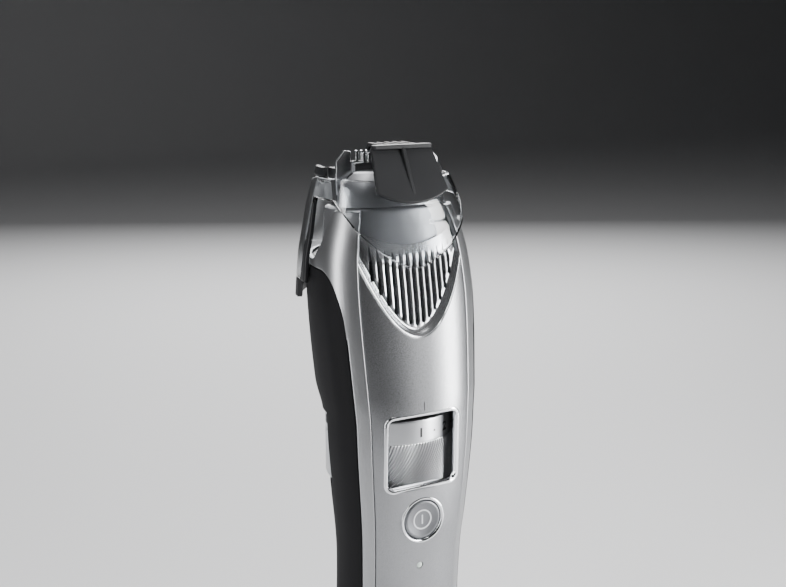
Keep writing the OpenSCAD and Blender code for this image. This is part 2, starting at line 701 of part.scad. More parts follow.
// The guard's plate leans back by this angle, three in five
guard_lean = atan(0.6);
guard_y = 13.1 - dial_front;
module comb_guard() {
    z0 = z_ledge - 1;
    drop = 13;
    sag = 3.3;
    arc_r = (guard_low ^ 2 + sag ^ 2) / (2 * sag);
    half_arc = asin(guard_low / arc_r);
    bar_pitch = 2.4;
    color([0.16, 0.16, 0.17]) {
        // plate with a rounded lower edge
        translate([0, guard_y + 1, z0]) rotate([90 - guard_lean, 0, 0]) linear_extrude(guard_t)
            polygon(concat([[-guard_top, 0], [-guard_low, -drop]],
                [for (i = [-7:7]) let (t = half_arc * i / 8)
                    [arc_r * sin(t), -drop - sag + arc_r * (1 - cos(t))]],
                [[guard_low, -drop], [guard_top, 0]]));
        // ledge
        box(-guard_top - 0.15, guard_top + 0.15, guard_y - 1.3, guard_y + 1.3, z0 - 0.1, z_ledge);
        // central fin
        translate([-guard_t * 0.4, 0, 0]) rotate([90, 0, 90]) linear_extrude(guard_t * 0.8)
            polygon([[guard_y - 1.2, z0 + 0.5], [guard_y - 7.9, z0 - 12.7], [guard_y - 7, z0 - 12.7], [guard_y - 0.2, z0 + 0.2]]);
        // bars over the blades and down to the frame's rear wall
        for (i = [0:bar_count - 1]) let (x = (i - (bar_count - 1) / 2) * bar_pitch)
            translate([x - 0.5, 0, 0]) rotate([90, 0, 90]) linear_extrude(1) comb_bar(abs(x) + 0.5);
    }
}

// Side outline of one bar: over the blade tips, down behind them, then out to the rear wall
module comb_bar(x) {
    tips = y_fixed + blade_t;
    rear_z = z_collar + 14;
    inside = comb_t + 0.45;
    middle = widest_behind_front - at(comb_rows, rear_z, 2);
    rear_y = middle + (at(comb_rows, rear_z, 3) - inside - middle)
        * (1 - (x / (at(comb_rows, rear_z, 1) - inside)) ^ comb_power) ^ (1 / comb_power);
    steps = 8;
    // quarter of an ellipse from behind the blades to the wall
    function sweep(q, t) = [rear_y - (rear_y - tips - 5.6 + t) * cos(90 * q),
        z_ledge - 5.4 - t * 0.3 - (z_ledge - 5.4 - rear_z - 1.2 + t * 0.9) * sin(90 * q)];
    polygon(concat([[guard_y + 1.2, z_ledge - 1], [guard_y + 1.2, z_ledge], [tips + 0.7, z_ledge]],
        [for (k = [0:steps]) sweep(k / steps, 0)], [for (k = [steps:-1:0]) sweep(k / steps, 1)],
        [[tips + 0.3, z_ledge - 1]]));
}

// ---------- motor and blades ----------

module motor_can() {
    color([0.7, 0.71, 0.72]) translate([0, axis_y, z_motor]) difference() {
        union() {
            cylinder(d = motor_d, h = motor_l);
            translate([0, 0, motor_l - eps]) cylinder(d = 6, h = 1.6);
        }
        translate([0, 0, -1]) cylinder(d = motor_d - 1.6, h = motor_l);
        cylinder(d = shaft_d + 0.1, h = motor_l + 3);
    }
}

module motor_end_cap() {
    color([0.9, 0.9, 0.86]) translate([0, axis_y, z_motor - 1.8]) difference() {
        cylinder(d = motor_d, h = 1.8 - eps);
        translate([0, 0, 0.8]) cylinder(d = shaft_d + 0.1, h = 3);
    }
}

module motor_terminals() {
    color([0.85, 0.75, 0.45]) for (x = [-1, 1])
        translate([x * 5 - 0.8, axis_y - 0.2, z_motor - 5]) cube([1.6, 0.4, 3.2]);
}

module motor_magnets() {
    outer = motor_d / 2 - 0.8 - seam;
    color([0.25, 0.25, 0.26]) translate([0, axis_y, z_motor + 3]) for (s = [0, 180]) rotate(s - 55)
        rotate_extrude(angle = 110) translate([outer - 1.9, 0]) square([1.9, motor_l - 8]);
}

module motor_armature() {
    r = motor_d / 2 - 3.3;
    color([0.6, 0.35, 0.2]) translate([0, axis_y, z_motor + 4]) difference() {
        cylinder(r = r, h = motor_l - 10);
        translate([0, 0, -1]) cylinder(d = shaft_d, h = motor_l);
        for (k = [0:2]) rotate(120 * k + 60) translate([r - 1.4, -0.9, -1]) cube([4, 1.8, motor_l]);
    }
}

module motor_shaft() {
    color([0.82, 0.82, 0.84]) translate([0, axis_y, z_motor - 0.8]) cylinder(d = shaft_d, h = z_cam + cam_t - z_motor);
}

module eccentric_cam() {
    color([0.9, 0.88, 0.8]) translate([0, axis_y, z_cam]) {
        difference() {
            cylinder(d = 8.4, h = cam_t);
            translate([0, 0, -1]) cylinder(d = shaft_d, h = cam_t + 0.2);
        }
        translate([0, throw, cam_t - eps]) cylinder(d = crank_pin_d, h = yoke_t + 1.4);
    }
}

module drive_yoke() {
    slot_x = crank_pin_d / 2 + 2 * throw + 0.15;
    slot_y = crank_pin_d / 2 + throw + 0.3;
    foot_z = z_neck + 2.4;
    color([0.88, 0.88, 0.85]) {
        difference() {
            box(-slot_x - 2.2, slot_x + 2.2, stem_front, axis_y + slot_y + 2.4, z_yoke, z_yoke + yoke_t);
            box(-slot_x, slot_x, axis_y - slot_y, axis_y + slot_y, z_yoke - 1, z_yoke + yoke_t + 1);
        }
        box(-stem_x, stem_x, stem_front, stem_front + stem_t, z_yoke + eps, foot_z + 2);
        box(-stem_x - 2.4, stem_x + 2.4, stem_front, y_moving, foot_z, foot_z + 2);
    }
}

// Comb of teeth standing on an edge, in X and Z
module teeth(count, pitch, width, low, high) {
    for (i = [0:count - 1]) translate([(i - (count - 1) / 2) * pitch, 0])
        polygon([[-width / 2, low], [width / 2, low], [width / 2, high - width / 2],
            [width / 4, high], [-width / 4, high], [-width / 2, high - width / 2]]);
}

module stationary_blade() {
    edge = z_tip - tooth_l;
    inner = blade_w / 2 - 4.2;
    count = 2 * floor((inner - 0.5) / tooth_pitch) + 1;
    color([0.85, 0.86, 0.87]) difference() {
        upright(y_fixed, y_fixed + blade_t) {
            translate([-blade_w / 2, z_blade]) square([blade_w, edge - z_blade]);
            for (s = [-1, 1]) polygon([[s * inner, edge - 1], [s * inner, z_tip],
                [s * (blade_w / 2 - 2.7), z_tip], [s * blade_w / 2, edge - 0.1], [s * blade_w / 2, edge - 1]]);
            teeth(count, tooth_pitch, tooth_pitch * 0.55, edge - 0.5, z_tip);
        }
        for (x = [-1, 1]) rod(2.1, y_fixed - 1, y_fixed + 4, z_blade + 3.4, x * (blade_w / 2 - 2.2));
    }
}

module moving_blade() {
    edge = z_tip - tooth_l;
    half = blade_w / 2 - 4.9;
    count = 2 * floor(half / tooth_pitch) - 1;
    color([0.8, 0.81, 0.83]) upright(y_moving, y_moving + blade_t) {
        translate([-half, z_blade + 1.6]) square([2 * half, edge - z_blade - 2]);
        teeth(count, tooth_pitch, tooth_pitch * 0.5, edge - 0.6, z_tip - 0.5);
    }
}

module blade_base() {
    half = blade_w / 2 - 0.1;
    color([0.14, 0.14, 0.15]) difference() {
        union() {
            box(1.8 - half, half - 1.8, -0.2, 8.6, z_neck + 0.1, z_neck + 1.6);
            box(-8, 8, -3.8, 0, z_neck + 0.1, z_neck + 1.6);
            box(-half, half, y_fixed + blade_t, 8, z_neck + 0.2, z_tip - 4.6);
        }
        stem_opening(z_neck - 1, z_neck + 3);
        for (x = [-1, 1]) rod(1.8, y_fixed - 1, y_fixed + 5, z_blade + 3.4, x * (blade_w / 2 - 2.2));
    }
}

module blade_screws() {
    color([0.75, 0.75, 0.77]) for (x = [-1, 1]) translate([x * (blade_w / 2 - 2.2), 0, 0]) difference() {
        union() {
            rod(2.6, y_fixed - 0.9, y_fixed, z_blade + 3.4);
            rod(1.8, y_fixed - eps, y_fixed + 4.6, z_blade + 3.4);
        }
        translate([-0.2, y_fixed - 1, z_blade + 2.4]) cube([0.4, 0.5, 2]);
    }
}

module blade_springs() {
    leg = stem_x + 2.4 + throw + 0.9;
    color([0.78, 0.78, 0.8]) for (s = [0, 1]) mirror([s, 0, 0]) {
        box(leg, leg + 1.6, y_moving - 0.9, y_moving - 0.5, z_neck + 1.6, z_blade + 4.6);
        box(leg, leg + 1.6, y_moving - 0.9, y_moving - 0.06, z_blade + 4, z_blade + 4.6);
    }
}

base_cap();
base_screws();
inlet_pins();
lower_housing();
upper_housing();
shoulder_cover();
chassis_tube();
front_panel();
side_frame();
rear_grip();
vent_grille();
neck_cover();
window_bezel();
button_ring();
button_seal();
charge_lens();
circuit_board();
tact_switch();
lamp_led();
battery_cell();
battery_tabs();
motor_can();
motor_end_cap();
motor_terminals();
motor_magnets();
motor_armature();
motor_shaft();
eccentric_cam();
drive_yoke();
moving_blade();
stationary_blade();
blade_base();
blade_springs();
blade_screws();
dial_drum();
number_ring();
detent_spring();
lifter_carriage();
comb_cradle();
comb_frame();
comb_arms();
comb_guard();
power_button();
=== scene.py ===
"""Looks of a cordless beard trimmer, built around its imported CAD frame.

Lengths in the classes are millimetres, in the frame's own axes: +Z up the handle, -Y the front.
Meshes are written in metres. Angles round the section run from +X (0) through the rear (90)
to the left side (180) and the front (270).
"""

import json
import logging
import math
from dataclasses import dataclass, field
from enum import Enum
from typing import Callable, Optional, Sequence, Union

import bpy
import numpy as np
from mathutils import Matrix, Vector

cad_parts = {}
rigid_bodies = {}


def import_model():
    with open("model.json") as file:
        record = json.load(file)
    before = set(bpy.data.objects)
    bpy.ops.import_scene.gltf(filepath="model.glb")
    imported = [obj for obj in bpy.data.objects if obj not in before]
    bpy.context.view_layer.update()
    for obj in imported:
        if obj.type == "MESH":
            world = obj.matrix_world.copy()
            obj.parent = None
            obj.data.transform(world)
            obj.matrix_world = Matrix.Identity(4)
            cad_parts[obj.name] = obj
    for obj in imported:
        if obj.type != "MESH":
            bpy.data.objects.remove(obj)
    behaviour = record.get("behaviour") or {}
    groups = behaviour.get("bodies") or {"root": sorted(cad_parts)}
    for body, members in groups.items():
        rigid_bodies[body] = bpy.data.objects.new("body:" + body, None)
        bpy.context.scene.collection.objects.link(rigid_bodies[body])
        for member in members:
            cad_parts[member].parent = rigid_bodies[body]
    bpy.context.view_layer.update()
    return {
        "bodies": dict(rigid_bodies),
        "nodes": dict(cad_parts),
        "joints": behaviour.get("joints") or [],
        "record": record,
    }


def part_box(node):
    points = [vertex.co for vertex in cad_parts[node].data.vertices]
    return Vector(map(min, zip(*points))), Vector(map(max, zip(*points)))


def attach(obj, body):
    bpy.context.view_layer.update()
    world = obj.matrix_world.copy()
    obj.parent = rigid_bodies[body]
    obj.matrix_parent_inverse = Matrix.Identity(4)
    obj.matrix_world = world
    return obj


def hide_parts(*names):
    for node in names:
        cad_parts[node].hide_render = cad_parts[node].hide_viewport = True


Array = np.ndarray
Colour = tuple[float, float, float]
LOG = logging.getLogger("trimmer")
MM = 0.001


# ---------------------------------------------------------------- shader graph


class Value:
    """A shader number: wraps an output socket, so that sums and products add Math nodes."""

    def __init__(self, graph: "Graph", socket: bpy.types.NodeSocket) -> None:
        """Keeps the graph that new nodes go into and the socket that carries the number."""
        self.graph = graph
        self.socket = socket

    def math(self, operation: str, other: Union["Value", float, None] = None, swap: bool = False) -> "Value":
        """Adds one Math node.

        Args:
            operation: the Math node's operation.
            other: the second operand, if the operation takes one.
            swap: True puts the other operand first.

        Returns:
            The node's result.
        """
        terms = [self] if other is None else ([other, self] if swap else [self, other])
        node = self.graph.node("ShaderNodeMath", {"operation": operation}, dict(enumerate(terms)))
        return Value(self.graph, node.outputs[0])

    def __add__(self, other: Union["Value", float]) -> "Value":
        """Sum."""
        return self.math("ADD", other)

    __radd__ = __add__

    def __mul__(self, other: Union["Value", float]) -> "Value":
        """Product."""
        return self.math("MULTIPLY", other)

    __rmul__ = __mul__

    def __sub__(self, other: Union["Value", float]) -> "Value":
        """Difference."""
        return self.math("SUBTRACT", other)

    def __rsub__(self, other: Union["Value", float]) -> "Value":
        """Difference, this value second."""
        return self.math("SUBTRACT", other, swap=True)

    def clamp(self) -> "Value":
        """The value held between 0 and 1."""
        return self.math("MINIMUM", 1.0).math("MAXIMUM", 0.0)


class Graph:
    """The node tree of one material."""

    def __init__(self, material: bpy.types.Material) -> None:
        """Empties the material's tree and adds its output, its shader and its Object coordinates."""
        material.use_nodes = True
        self.tree = material.node_tree
        self.tree.nodes.clear()
        self.output = self.node("ShaderNodeOutputMaterial")
        self.shader = self.node("ShaderNodeBsdfPrincipled")
        self.tree.links.new(self.shader.outputs[0], self.output.inputs[0])
        self.place = self.node("ShaderNodeTexCoord").outputs["Object"]

    def node(
        self,
        kind: str,
        settings: Optional[dict] = None,
        inputs: Optional[dict] = None,
    ) -> bpy.types.Node:
        """Adds a node, sets its settings, then sets or links its inputs.

        Args:
            kind: the node's type.
            settings: attributes of the node; "stops" sets a ramp's stops.
            inputs: numbers, colours, Values or sockets by input name or index.

        Returns:
            The new node.
        """
        made = self.tree.nodes.new(kind)
        for name, value in (settings or {}).items():
            if name == "stops":
                self.ramp_stops(made, value)
            else:
                setattr(made, name, value)
        for name, value in (inputs or {}).items():
            self.feed(made, name, value)
        return made

    @staticmethod
    def ramp_stops(node: bpy.types.Node, stops: Sequence[tuple[float, Colour]]) -> None:
        """Gives a colour ramp its stops, each a position and a colour."""
        elements = node.color_ramp.elements
        while len(elements) < len(stops):
            elements.new(1.0)
        for element, (position, colour) in zip(elements, stops):
            element.position = position
            element.color = (*colour, 1.0)

    def feed(self, node: bpy.types.Node, name: Union[str, int], value: object) -> None:
        """Sets or links one input of a node."""
        socket = node.inputs[name]
        if isinstance(value, Value):
            self.tree.links.new(value.socket, socket)
        elif isinstance(value, bpy.types.NodeSocket):
            self.tree.links.new(value, socket)
        else:
            socket.default_value = value

    def stretched(self, scale: Sequence[float]) -> bpy.types.NodeSocket:
        """Object coordinates scaled along each axis."""
        mapping = self.node("ShaderNodeMapping", None, {"Vector": self.place, "Scale": tuple(scale)})
        return mapping.outputs[0]

    def noise(self, scale: float, detail: float = 3.0, stretch: Sequence[float] = (1, 1, 1)) -> Value:
        """Fractal noise on the object's own coordinates.

        Args:
            scale: cells per metre.
            detail: octaves.
            stretch: scale along each axis, for grain that runs one way.

        Returns:
            The noise, from 0 to 1.
        """
        made = self.node(
            "ShaderNodeTexNoise",
            None,
            {"Vector": self.stretched(stretch), "Scale": scale, "Detail": detail},
        )
        return Value(self, made.outputs[0])

    def cells(self, scale: float) -> Value:
        """Distance to the nearest cell centre of a Voronoi pattern."""
        made = self.node("ShaderNodeTexVoronoi", None, {"Vector": self.place, "Scale": scale})
        return Value(self, made.outputs["Distance"])

    def mix(self, factor: Value, first: Colour, second: Colour) -> bpy.types.NodeSocket:
        """A colour between two others."""
        ramp = self.node("ShaderNodeValToRGB", {"stops": [(0.0, first), (1.0, second)]}, {0: factor})
        return ramp.outputs[0]

    def bump(self, height: Value, strength: float, distance: float) -> None:
        """Feeds a height into the shader's normal."""
        made = self.node(
            "ShaderNodeBump", None, {"Height": height, "Strength": strength, "Distance": distance}
        )
        self.feed(self.shader, "Normal", made.outputs[0])


class Grain(Enum):
    """How the fine surface texture runs."""

    EVEN = (1.0, 1.0, 1.0)
    UPRIGHT = (1.0, 1.0, 0.04)
    ACROSS = (0.04, 1.0, 1.0)


@dataclass(frozen=True)
class Finish:
    """A surface finish that a maker would name, with its texture sizes in millimetres."""

    name: str
    colour: Colour
    metallic: float = 0.0
    roughness: float = 0.5
    spread: float = 0.08
    rough_spread: float = 0.06
    patch: float = 9.0
    grain: float = 0.3
    grain_depth: float = 0.01
    grain_run: Grain = Grain.EVEN
    coat: float = 0.0
    coat_rough: float = 0.1
    clear: float = 0.0
    ior: float = 1.5
    pits: float = 0.0
    sheen: float = 0.5

    def material(self) -> bpy.types.Material:
        """Builds the finish's node material: broad variation, fine grain, and pits where it has them.

        Returns:
            The material.
        """
        made = bpy.data.materials.new(self.name)
        graph = Graph(made)
        shader = graph.shader
        for socket, value in (
            ("Metallic", self.metallic),
            ("IOR", self.ior),
            ("Coat Weight", self.coat),
            ("Coat Roughness", self.coat_rough),
            ("Transmission Weight", self.clear),
            ("Specular IOR Level", self.sheen),
        ):
            shader.inputs[socket].default_value = value
        broad = graph.noise(1000.0 / self.patch, 4.0)
        fine = graph.noise(1000.0 / self.grain, 2.0, self.grain_run.value)
        tone = (broad * 0.6 + fine * 0.4).clamp()
        dark = tuple(c * (1 - self.spread) for c in self.colour)
        light = tuple(min(1.0, c * (1 + self.spread)) for c in self.colour)
        graph.feed(shader, "Base Color", graph.mix(tone, dark, light))
        rough = (tone - 0.5) * (2 * self.rough_spread) + self.roughness
        graph.feed(shader, "Roughness", rough.clamp())
        height = fine
        if self.pits:
            height = height + graph.cells(1000.0 / self.pits) * 0.8
        graph.bump(height, 0.6, self.grain_depth * MM)
        made.diffuse_color = (*self.colour, 1.0)
        return made


@dataclass(frozen=True)
class FlakePaint(Finish):
    """Silver paint: aluminium flakes under a satin lacquer."""

    flake: float = 0.16

    def material(self) -> bpy.types.Material:
        """Builds the paint: fine flakes vary its tone, roughness and normal.

        Returns:
            The material.
        """
        made = bpy.data.materials.new(self.name)
        graph = Graph(made)
        shader = graph.shader
        shader.inputs["Metallic"].default_value = self.metallic
        shader.inputs["Coat Weight"].default_value = self.coat
        shader.inputs["Coat Roughness"].default_value = self.coat_rough
        flakes = graph.cells(1000.0 / self.flake)
        cloud = graph.noise(1000.0 / self.patch, 3.0)
        tone = (flakes * 0.9 + cloud * 0.35).clamp()
        dark = tuple(c * (1 - self.spread) for c in self.colour)
        light = tuple(min(1.0, c * (1 + self.spread)) for c in self.colour)
        graph.feed(shader, "Base Color", graph.mix(tone, dark, light))
        graph.feed(shader, "Roughness", ((flakes - 0.4) * self.rough_spread + self.roughness).clamp())
        graph.bump(flakes, 0.25, self.grain_depth * MM)
        made.diffuse_color = (*self.colour, 1.0)
        return made


class Finishes:
    """Every finish on the trimmer, each made once."""

    PANEL = FlakePaint("panel_silver", (0.3, 0.305, 0.315), 0.92, 0.28, 0.14, 0.1, coat=0.35, coat_rough=0.12)
    FRAME = FlakePaint("frame_silver", (0.36, 0.365, 0.375), 0.92, 0.34, 0.14, 0.1, coat=0.2, coat_rough=0.2)
    FINS = FlakePaint("fin_silver", (0.66, 0.67, 0.69), 0.95, 0.24, 0.06, 0.05, coat=0.25)
    NECK = FlakePaint("neck_grey", (0.34, 0.345, 0.36), 0.85, 0.33, 0.1, 0.08, coat=0.2)
    CHROME = Finish("bright_chrome", (0.86, 0.87, 0.89), 1.0, 0.12, 0.02, 0.04, grain_depth=0.001)
    SATIN = Finish("satin_silver", (0.66, 0.67, 0.69), 0.95, 0.3, 0.05, 0.06, grain=0.12, grain_depth=0.004)
    CAP = Finish("button_satin", (0.2, 0.205, 0.215), 0.95, 0.34, 0.06, 0.06, grain=0.12, grain_depth=0.004)
    STEEL = Finish("ground_steel", (0.76, 0.77, 0.79), 1.0, 0.24, 0.05, 0.08, grain=0.1,
                   grain_depth=0.004, grain_run=Grain.ACROSS)
    BOLT = Finish("plated_screw", (0.7, 0.7, 0.72), 1.0, 0.35, 0.06, 0.08)
    RUBBER = Finish("grip_rubber", (0.008, 0.008, 0.009), 0.0, 0.66, 0.4, 0.08, grain=0.22,
                    grain_depth=0.05, pits=0.45, sheen=0.12)
    BLACK = Finish("black_abs", (0.018, 0.018, 0.02), 0.0, 0.45, 0.2, 0.06, grain_depth=0.015)
    CHARCOAL = Finish("charcoal_abs", (0.014, 0.0145, 0.016), 0.0, 0.42, 0.2, 0.07, grain=0.35,
                      grain_depth=0.02, grain_run=Grain.UPRIGHT, sheen=0.3)
    CLEAR = Finish("clear_polycarbonate", (0.96, 0.98, 1.0), 0.0, 0.03, 0.01, 0.015, clear=1.0, ior=1.5,
                   grain_depth=0.001)
    INK = Finish("dial_ink", (0.02, 0.02, 0.022), 0.0, 0.5, 0.1, 0.05, grain_depth=0.002)
    WHITE_INK = Finish("mark_ink", (0.75, 0.76, 0.78), 0.2, 0.4, 0.05, 0.05, grain_depth=0.002)
    NYLON = Finish("natural_nylon", (0.72, 0.71, 0.66), 0.0, 0.42, 0.08, 0.06, grain_depth=0.01)
    BOARD = Finish("board_mask", (0.02, 0.16, 0.07), 0.0, 0.3, 0.2, 0.05, patch=3.0)
    BRASS = Finish("plated_brass", (0.78, 0.6, 0.3), 1.0, 0.28, 0.05, 0.06)
    WRAP = Finish("cell_wrap", (0.05, 0.22, 0.13), 0.0, 0.25, 0.1, 0.05, coat=0.4)
    COPPER = Finish("enamelled_copper", (0.5, 0.2, 0.1), 0.9, 0.32, 0.2, 0.06, grain=0.25,
                    grain_run=Grain.UPRIGHT, grain_depth=0.05)
    LAMP = Finish("frosted_lens", (0.75, 0.85, 0.78), 0.0, 0.35, 0.05, 0.05, coat=0.3)

    made: dict[str, bpy.types.Material] = {}

    @classmethod
    def get(cls, finish: Finish) -> bpy.types.Material:
        """The finish's material, built on first use."""
        if finish.name not in cls.made:
            cls.made[finish.name] = finish.material()
        return cls.made[finish.name]


# ---------------------------------------------------------------- surfaces


@dataclass(frozen=True)
class Section:
    """A closed outline that changes with height.

    Each row is a height, a half width, a depth in front and a depth behind. A cubic Hermite curve
    through the rows gives those at any height. The outline's front half and rear half are
    superellipse halves that meet on the widest line, which lies a fixed depth behind the front.
    """

    rows: tuple[tuple[float, float, float, float], ...]
    rear_power: float = 2.05
    front_power: float = 2.6
    widest: float = 12.6

    def at(self, z: Array, column: int) -> Array:
        """Cubic Hermite value of one column at heights z; slopes are those between a row's neighbours."""
        rows = np.array(self.rows, float)
        heights, values = rows[:, 0], rows[:, column]
        slopes = np.gradient(values, heights)
        slopes[1:-1] = (values[2:] - values[:-2]) / (heights[2:] - heights[:-2])
        z = np.clip(z, heights[0], heights[-1])
        k = np.clip(np.searchsorted(heights, z, side="right") - 1, 0, len(rows) - 2)
        h = heights[k + 1] - heights[k]
        t = (z - heights[k]) / h
        rising = (t**3 - 2 * t**2 + t) * h * slopes[k] + (t**3 - t**2) * h * slopes[k + 1]
        return (2 * t**3 - 3 * t**2 + 1) * values[k] + (3 * t**2 - 2 * t**3) * values[k + 1] + rising

    def point(self, angle: Array, z: Array, depth: Union[Array, float] = 0.0) -> Array:
        """Points of the outline moved inwards by depth.

        Args:
            angle: angles round the section, in degrees.
            z: heights.
            depth: how far below the outer surface the points lie.

        Returns:
            Points, one per angle and height, with a last axis of three.
        """
        angle, z, depth = np.broadcast_arrays(np.radians(angle), z, depth)
        half = self.at(z, 1) - depth
        front = -self.at(z, 2) + depth
        rear = self.at(z, 3) - depth
        middle = front + self.widest - depth
        cos, sin = np.cos(angle), np.sin(angle)
        power = np.where(sin < 0, self.front_power, self.rear_power)
        reach = np.where(sin < 0, middle - front, rear - middle)
        x = half * np.sign(cos) * np.abs(cos) ** (2 / power)
        y = middle + reach * np.sign(sin) * np.abs(sin) ** (2 / power)
        return np.stack([x, y, z], -1)

    def front_at(self, x: Array, z: Array, depth: Union[Array, float] = 0.0) -> Array:
        """Front points at a given x and height: y solves the front superellipse for x.

        Args:
            x: distances from the middle.
            z: heights.
            depth: how far below the outer surface the points lie.

        Returns:
            Points with a last axis of three.
        """
        x, z, depth = np.broadcast_arrays(x, z, depth)
        half = self.at(z, 1) - depth
        front = -self.at(z, 2) + depth
        middle = front + self.widest - depth
        share = np.clip(1 - np.abs(x / half) ** self.front_power, 0, 1) ** (1 / self.front_power)
        return np.stack([x, middle - (middle - front) * share, z], -1)


def smooth(q: Array) -> Array:
    """Eases from 0 to 1: 3q^2 - 2q^3, held outside."""
    q = np.clip(q, 0, 1)
    return q * q * (3 - 2 * q)


def round_edge(distance: Array, radius: float) -> Array:
    """Depth of a quarter-round at a distance from an edge: r - sqrt(r^2 - (r - d)^2)."""
    left = np.clip(radius - distance, 0, radius)
    return radius - np.sqrt(np.maximum(radius**2 - left**2, 0))


def crowded(count: int, crowd: float = 0.75) -> Array:
    """Count + 1 values from 0 to 1 that crowd towards both ends: a line blended with a cosine."""
    line = np.linspace(0, 1, count + 1)
    return (1 - crowd) * line + crowd * (1 - np.cos(np.pi * line)) / 2


class Mesher:
    """Makes the trimmer's mesh objects."""

    @staticmethod
    def build(
        name: str, points: Array, faces: Array, flat: bool = False, angle: float = 35.0
    ) -> bpy.types.Object:
        """A mesh object from points in millimetres.

        Args:
            name: the piece's name.
            points: vertices, n by 3.
            faces: vertex numbers, m by 3 or m by 4.
            flat: True leaves the faces flat-shaded.
            angle: edges sharper than this stay sharp.

        Returns:
            The object, at the origin.
        """
        mesh = bpy.data.meshes.new(name)
        sides = faces.shape[1]
        mesh.vertices.add(len(points))
        mesh.vertices.foreach_set("co", np.ascontiguousarray(points * MM, np.float32).ravel())
        mesh.loops.add(faces.size)
        mesh.loops.foreach_set("vertex_index", faces.ravel().astype(np.int32))
        mesh.polygons.add(len(faces))
        mesh.polygons.foreach_set("loop_start", np.arange(0, faces.size, sides, dtype=np.int32))
        mesh.update(calc_edges=True)
        mesh.validate()
        if not flat:
            mesh.shade_smooth()
            mesh.set_sharp_from_angle(angle=math.radians(angle))
        made = bpy.data.objects.new(name, mesh)
        bpy.context.scene.collection.objects.link(made)
        return made

    @staticmethod
    def quads(
        rows: int, cols: int, wrap_rows: bool = False, wrap_cols: bool = False, start: int = 0
    ) -> Array:
        """Faces of a grid of vertices, numbered row by row.

        Args:
            rows: vertices along the first parameter.
            cols: vertices along the second.
            wrap_rows: True joins the last row to the first.
            wrap_cols: True joins the last column to the first.
            start: number of the grid's first vertex.

        Returns:
            Faces, n by 4.
        """
        i = np.arange(rows if wrap_rows else rows - 1)[:, None]
        j = np.arange(cols if wrap_cols else cols - 1)[None, :]
        i2, j2 = (i + 1) % rows, (j + 1) % cols
        corners = [i * cols + j, i2 * cols + j, i2 * cols + j2, i * cols + j2]
        return start + np.stack(np.broadcast_arrays(*corners), -1).reshape(-1, 4)

    @classmethod
    def shell(
        cls, name: str, outer: Array, inner: Array, closed: bool = False, angle: float = 35.0
    ) -> bpy.types.Object:
        """A wall between two grids of the same size, closed all round its edges.

        Args:
            name: the piece's name.
            outer: outer grid, angle by height by 3, with angles rising.
            inner: inner grid of the same shape.
            closed: True when the first and last angles meet.
            angle: edges sharper than this stay sharp.

        Returns:
            The object.
        """
        rows, cols = outer.shape[:2]
        points = np.concatenate([outer.reshape(-1, 3), inner.reshape(-1, 3)])
        number = np.arange(2 * rows * cols).reshape(2, rows, cols)
        front = cls.quads(rows, cols, wrap_rows=closed)
        faces = [front, front[:, ::-1] + rows * cols]
        around = np.arange(rows if closed else rows - 1)
        nxt = (around + 1) % rows
        for edge, flip in ((0, False), (cols - 1, True)):
            strip = np.stack(
                [
                    number[0, around, edge], number[1, around, edge], number[1, nxt, edge],
                    number[0, nxt, edge]
                ], -1
            )
            faces.append(strip[:, ::-1] if flip else strip)
        if not closed:
            up = np.arange(cols - 1)
            for edge, flip in ((0, True), (rows - 1, False)):
                strip = np.stack(
                    [
                        number[0, edge, up], number[1, edge, up], number[1, edge, up + 1],
                        number[0, edge, up + 1]
                    ], -1
                )
                faces.append(strip[:, ::-1] if flip else strip)
        return cls.outward(cls.build(name, points, np.concatenate(faces), angle=angle))

    @classmethod
    def ring(cls, name: str, loops: Array, angle: float = 35.0) -> bpy.types.Object:
        """A closed tube of any profile: a grid that wraps both ways.

        Args:
            name: the piece's name.
            loops: path by profile by 3.
            angle: edges sharper than this stay sharp.

        Returns:
            The object.
        """
        rows, cols = loops.shape[:2]
        faces = cls.quads(rows, cols, wrap_rows=True, wrap_cols=True)
        return cls.outward(cls.build(name, loops.reshape(-1, 3), faces, angle=angle))

    @staticmethod
    def outward(obj: bpy.types.Object) -> bpy.types.Object:
        """Turns a closed mesh inside out where its signed volume is negative.

        The volume is the sum over triangles of a . (b x c) / 6.
        """
        mesh = obj.data
        mesh.calc_loop_triangles()
        corners = np.empty(len(mesh.loop_triangles) * 3, np.int32)
        mesh.loop_triangles.foreach_get("vertices", corners)
        points = np.empty(len(mesh.vertices) * 3)
        mesh.vertices.foreach_get("co", points)
        a, b, c = points.reshape(-1, 3)[corners].reshape(-1, 3, 3).transpose(1, 0, 2)
        if np.einsum("ij,ij->", a, np.cross(b, c)) < 0:
            mesh.flip_normals()
        return obj

    @classmethod
    def prism(
        cls, name: str, outline: Array, place: Callable[[Array], Array], thick: float, bevel: float
    ) -> bpy.types.Object:
        """A plate of any outline with rounded edges.

        Args:
            name: the piece's name.
            outline: points n by 2, anticlockwise.
            place: turns local points (u, v, w) into the frame's points.
            thick: size along w, from 0.
            bevel: radius of its edges.

        Returns:
            The object.
        """
        n = len(outline)
        local = np.concatenate([
            np.column_stack([outline, np.zeros(n)]),
            np.column_stack([outline, np.full(n, thick)]),
        ])
        faces = [list(range(n))[::-1], list(range(n, 2 * n))]
        faces += [[i, (i + 1) % n, n + (i + 1) % n, n + i] for i in range(n)]
        mesh = bpy.data.meshes.new(name)
        mesh.from_pydata((place(local) * MM).tolist(), [], faces)
        mesh.update()
        made = bpy.data.objects.new(name, mesh)
        bpy.context.scene.collection.objects.link(made)
        cls.outward(made)
        if bevel:
            edge = made.modifiers.new("edge", "BEVEL")
            edge.width = bevel * MM
            edge.segments = 3
            edge.limit_method = "ANGLE"
            edge.angle_limit = math.radians(30)
            edge.harden_normals = False
        mesh.shade_smooth()
        mesh.set_sharp_from_angle(angle=math.radians(35))
        return made

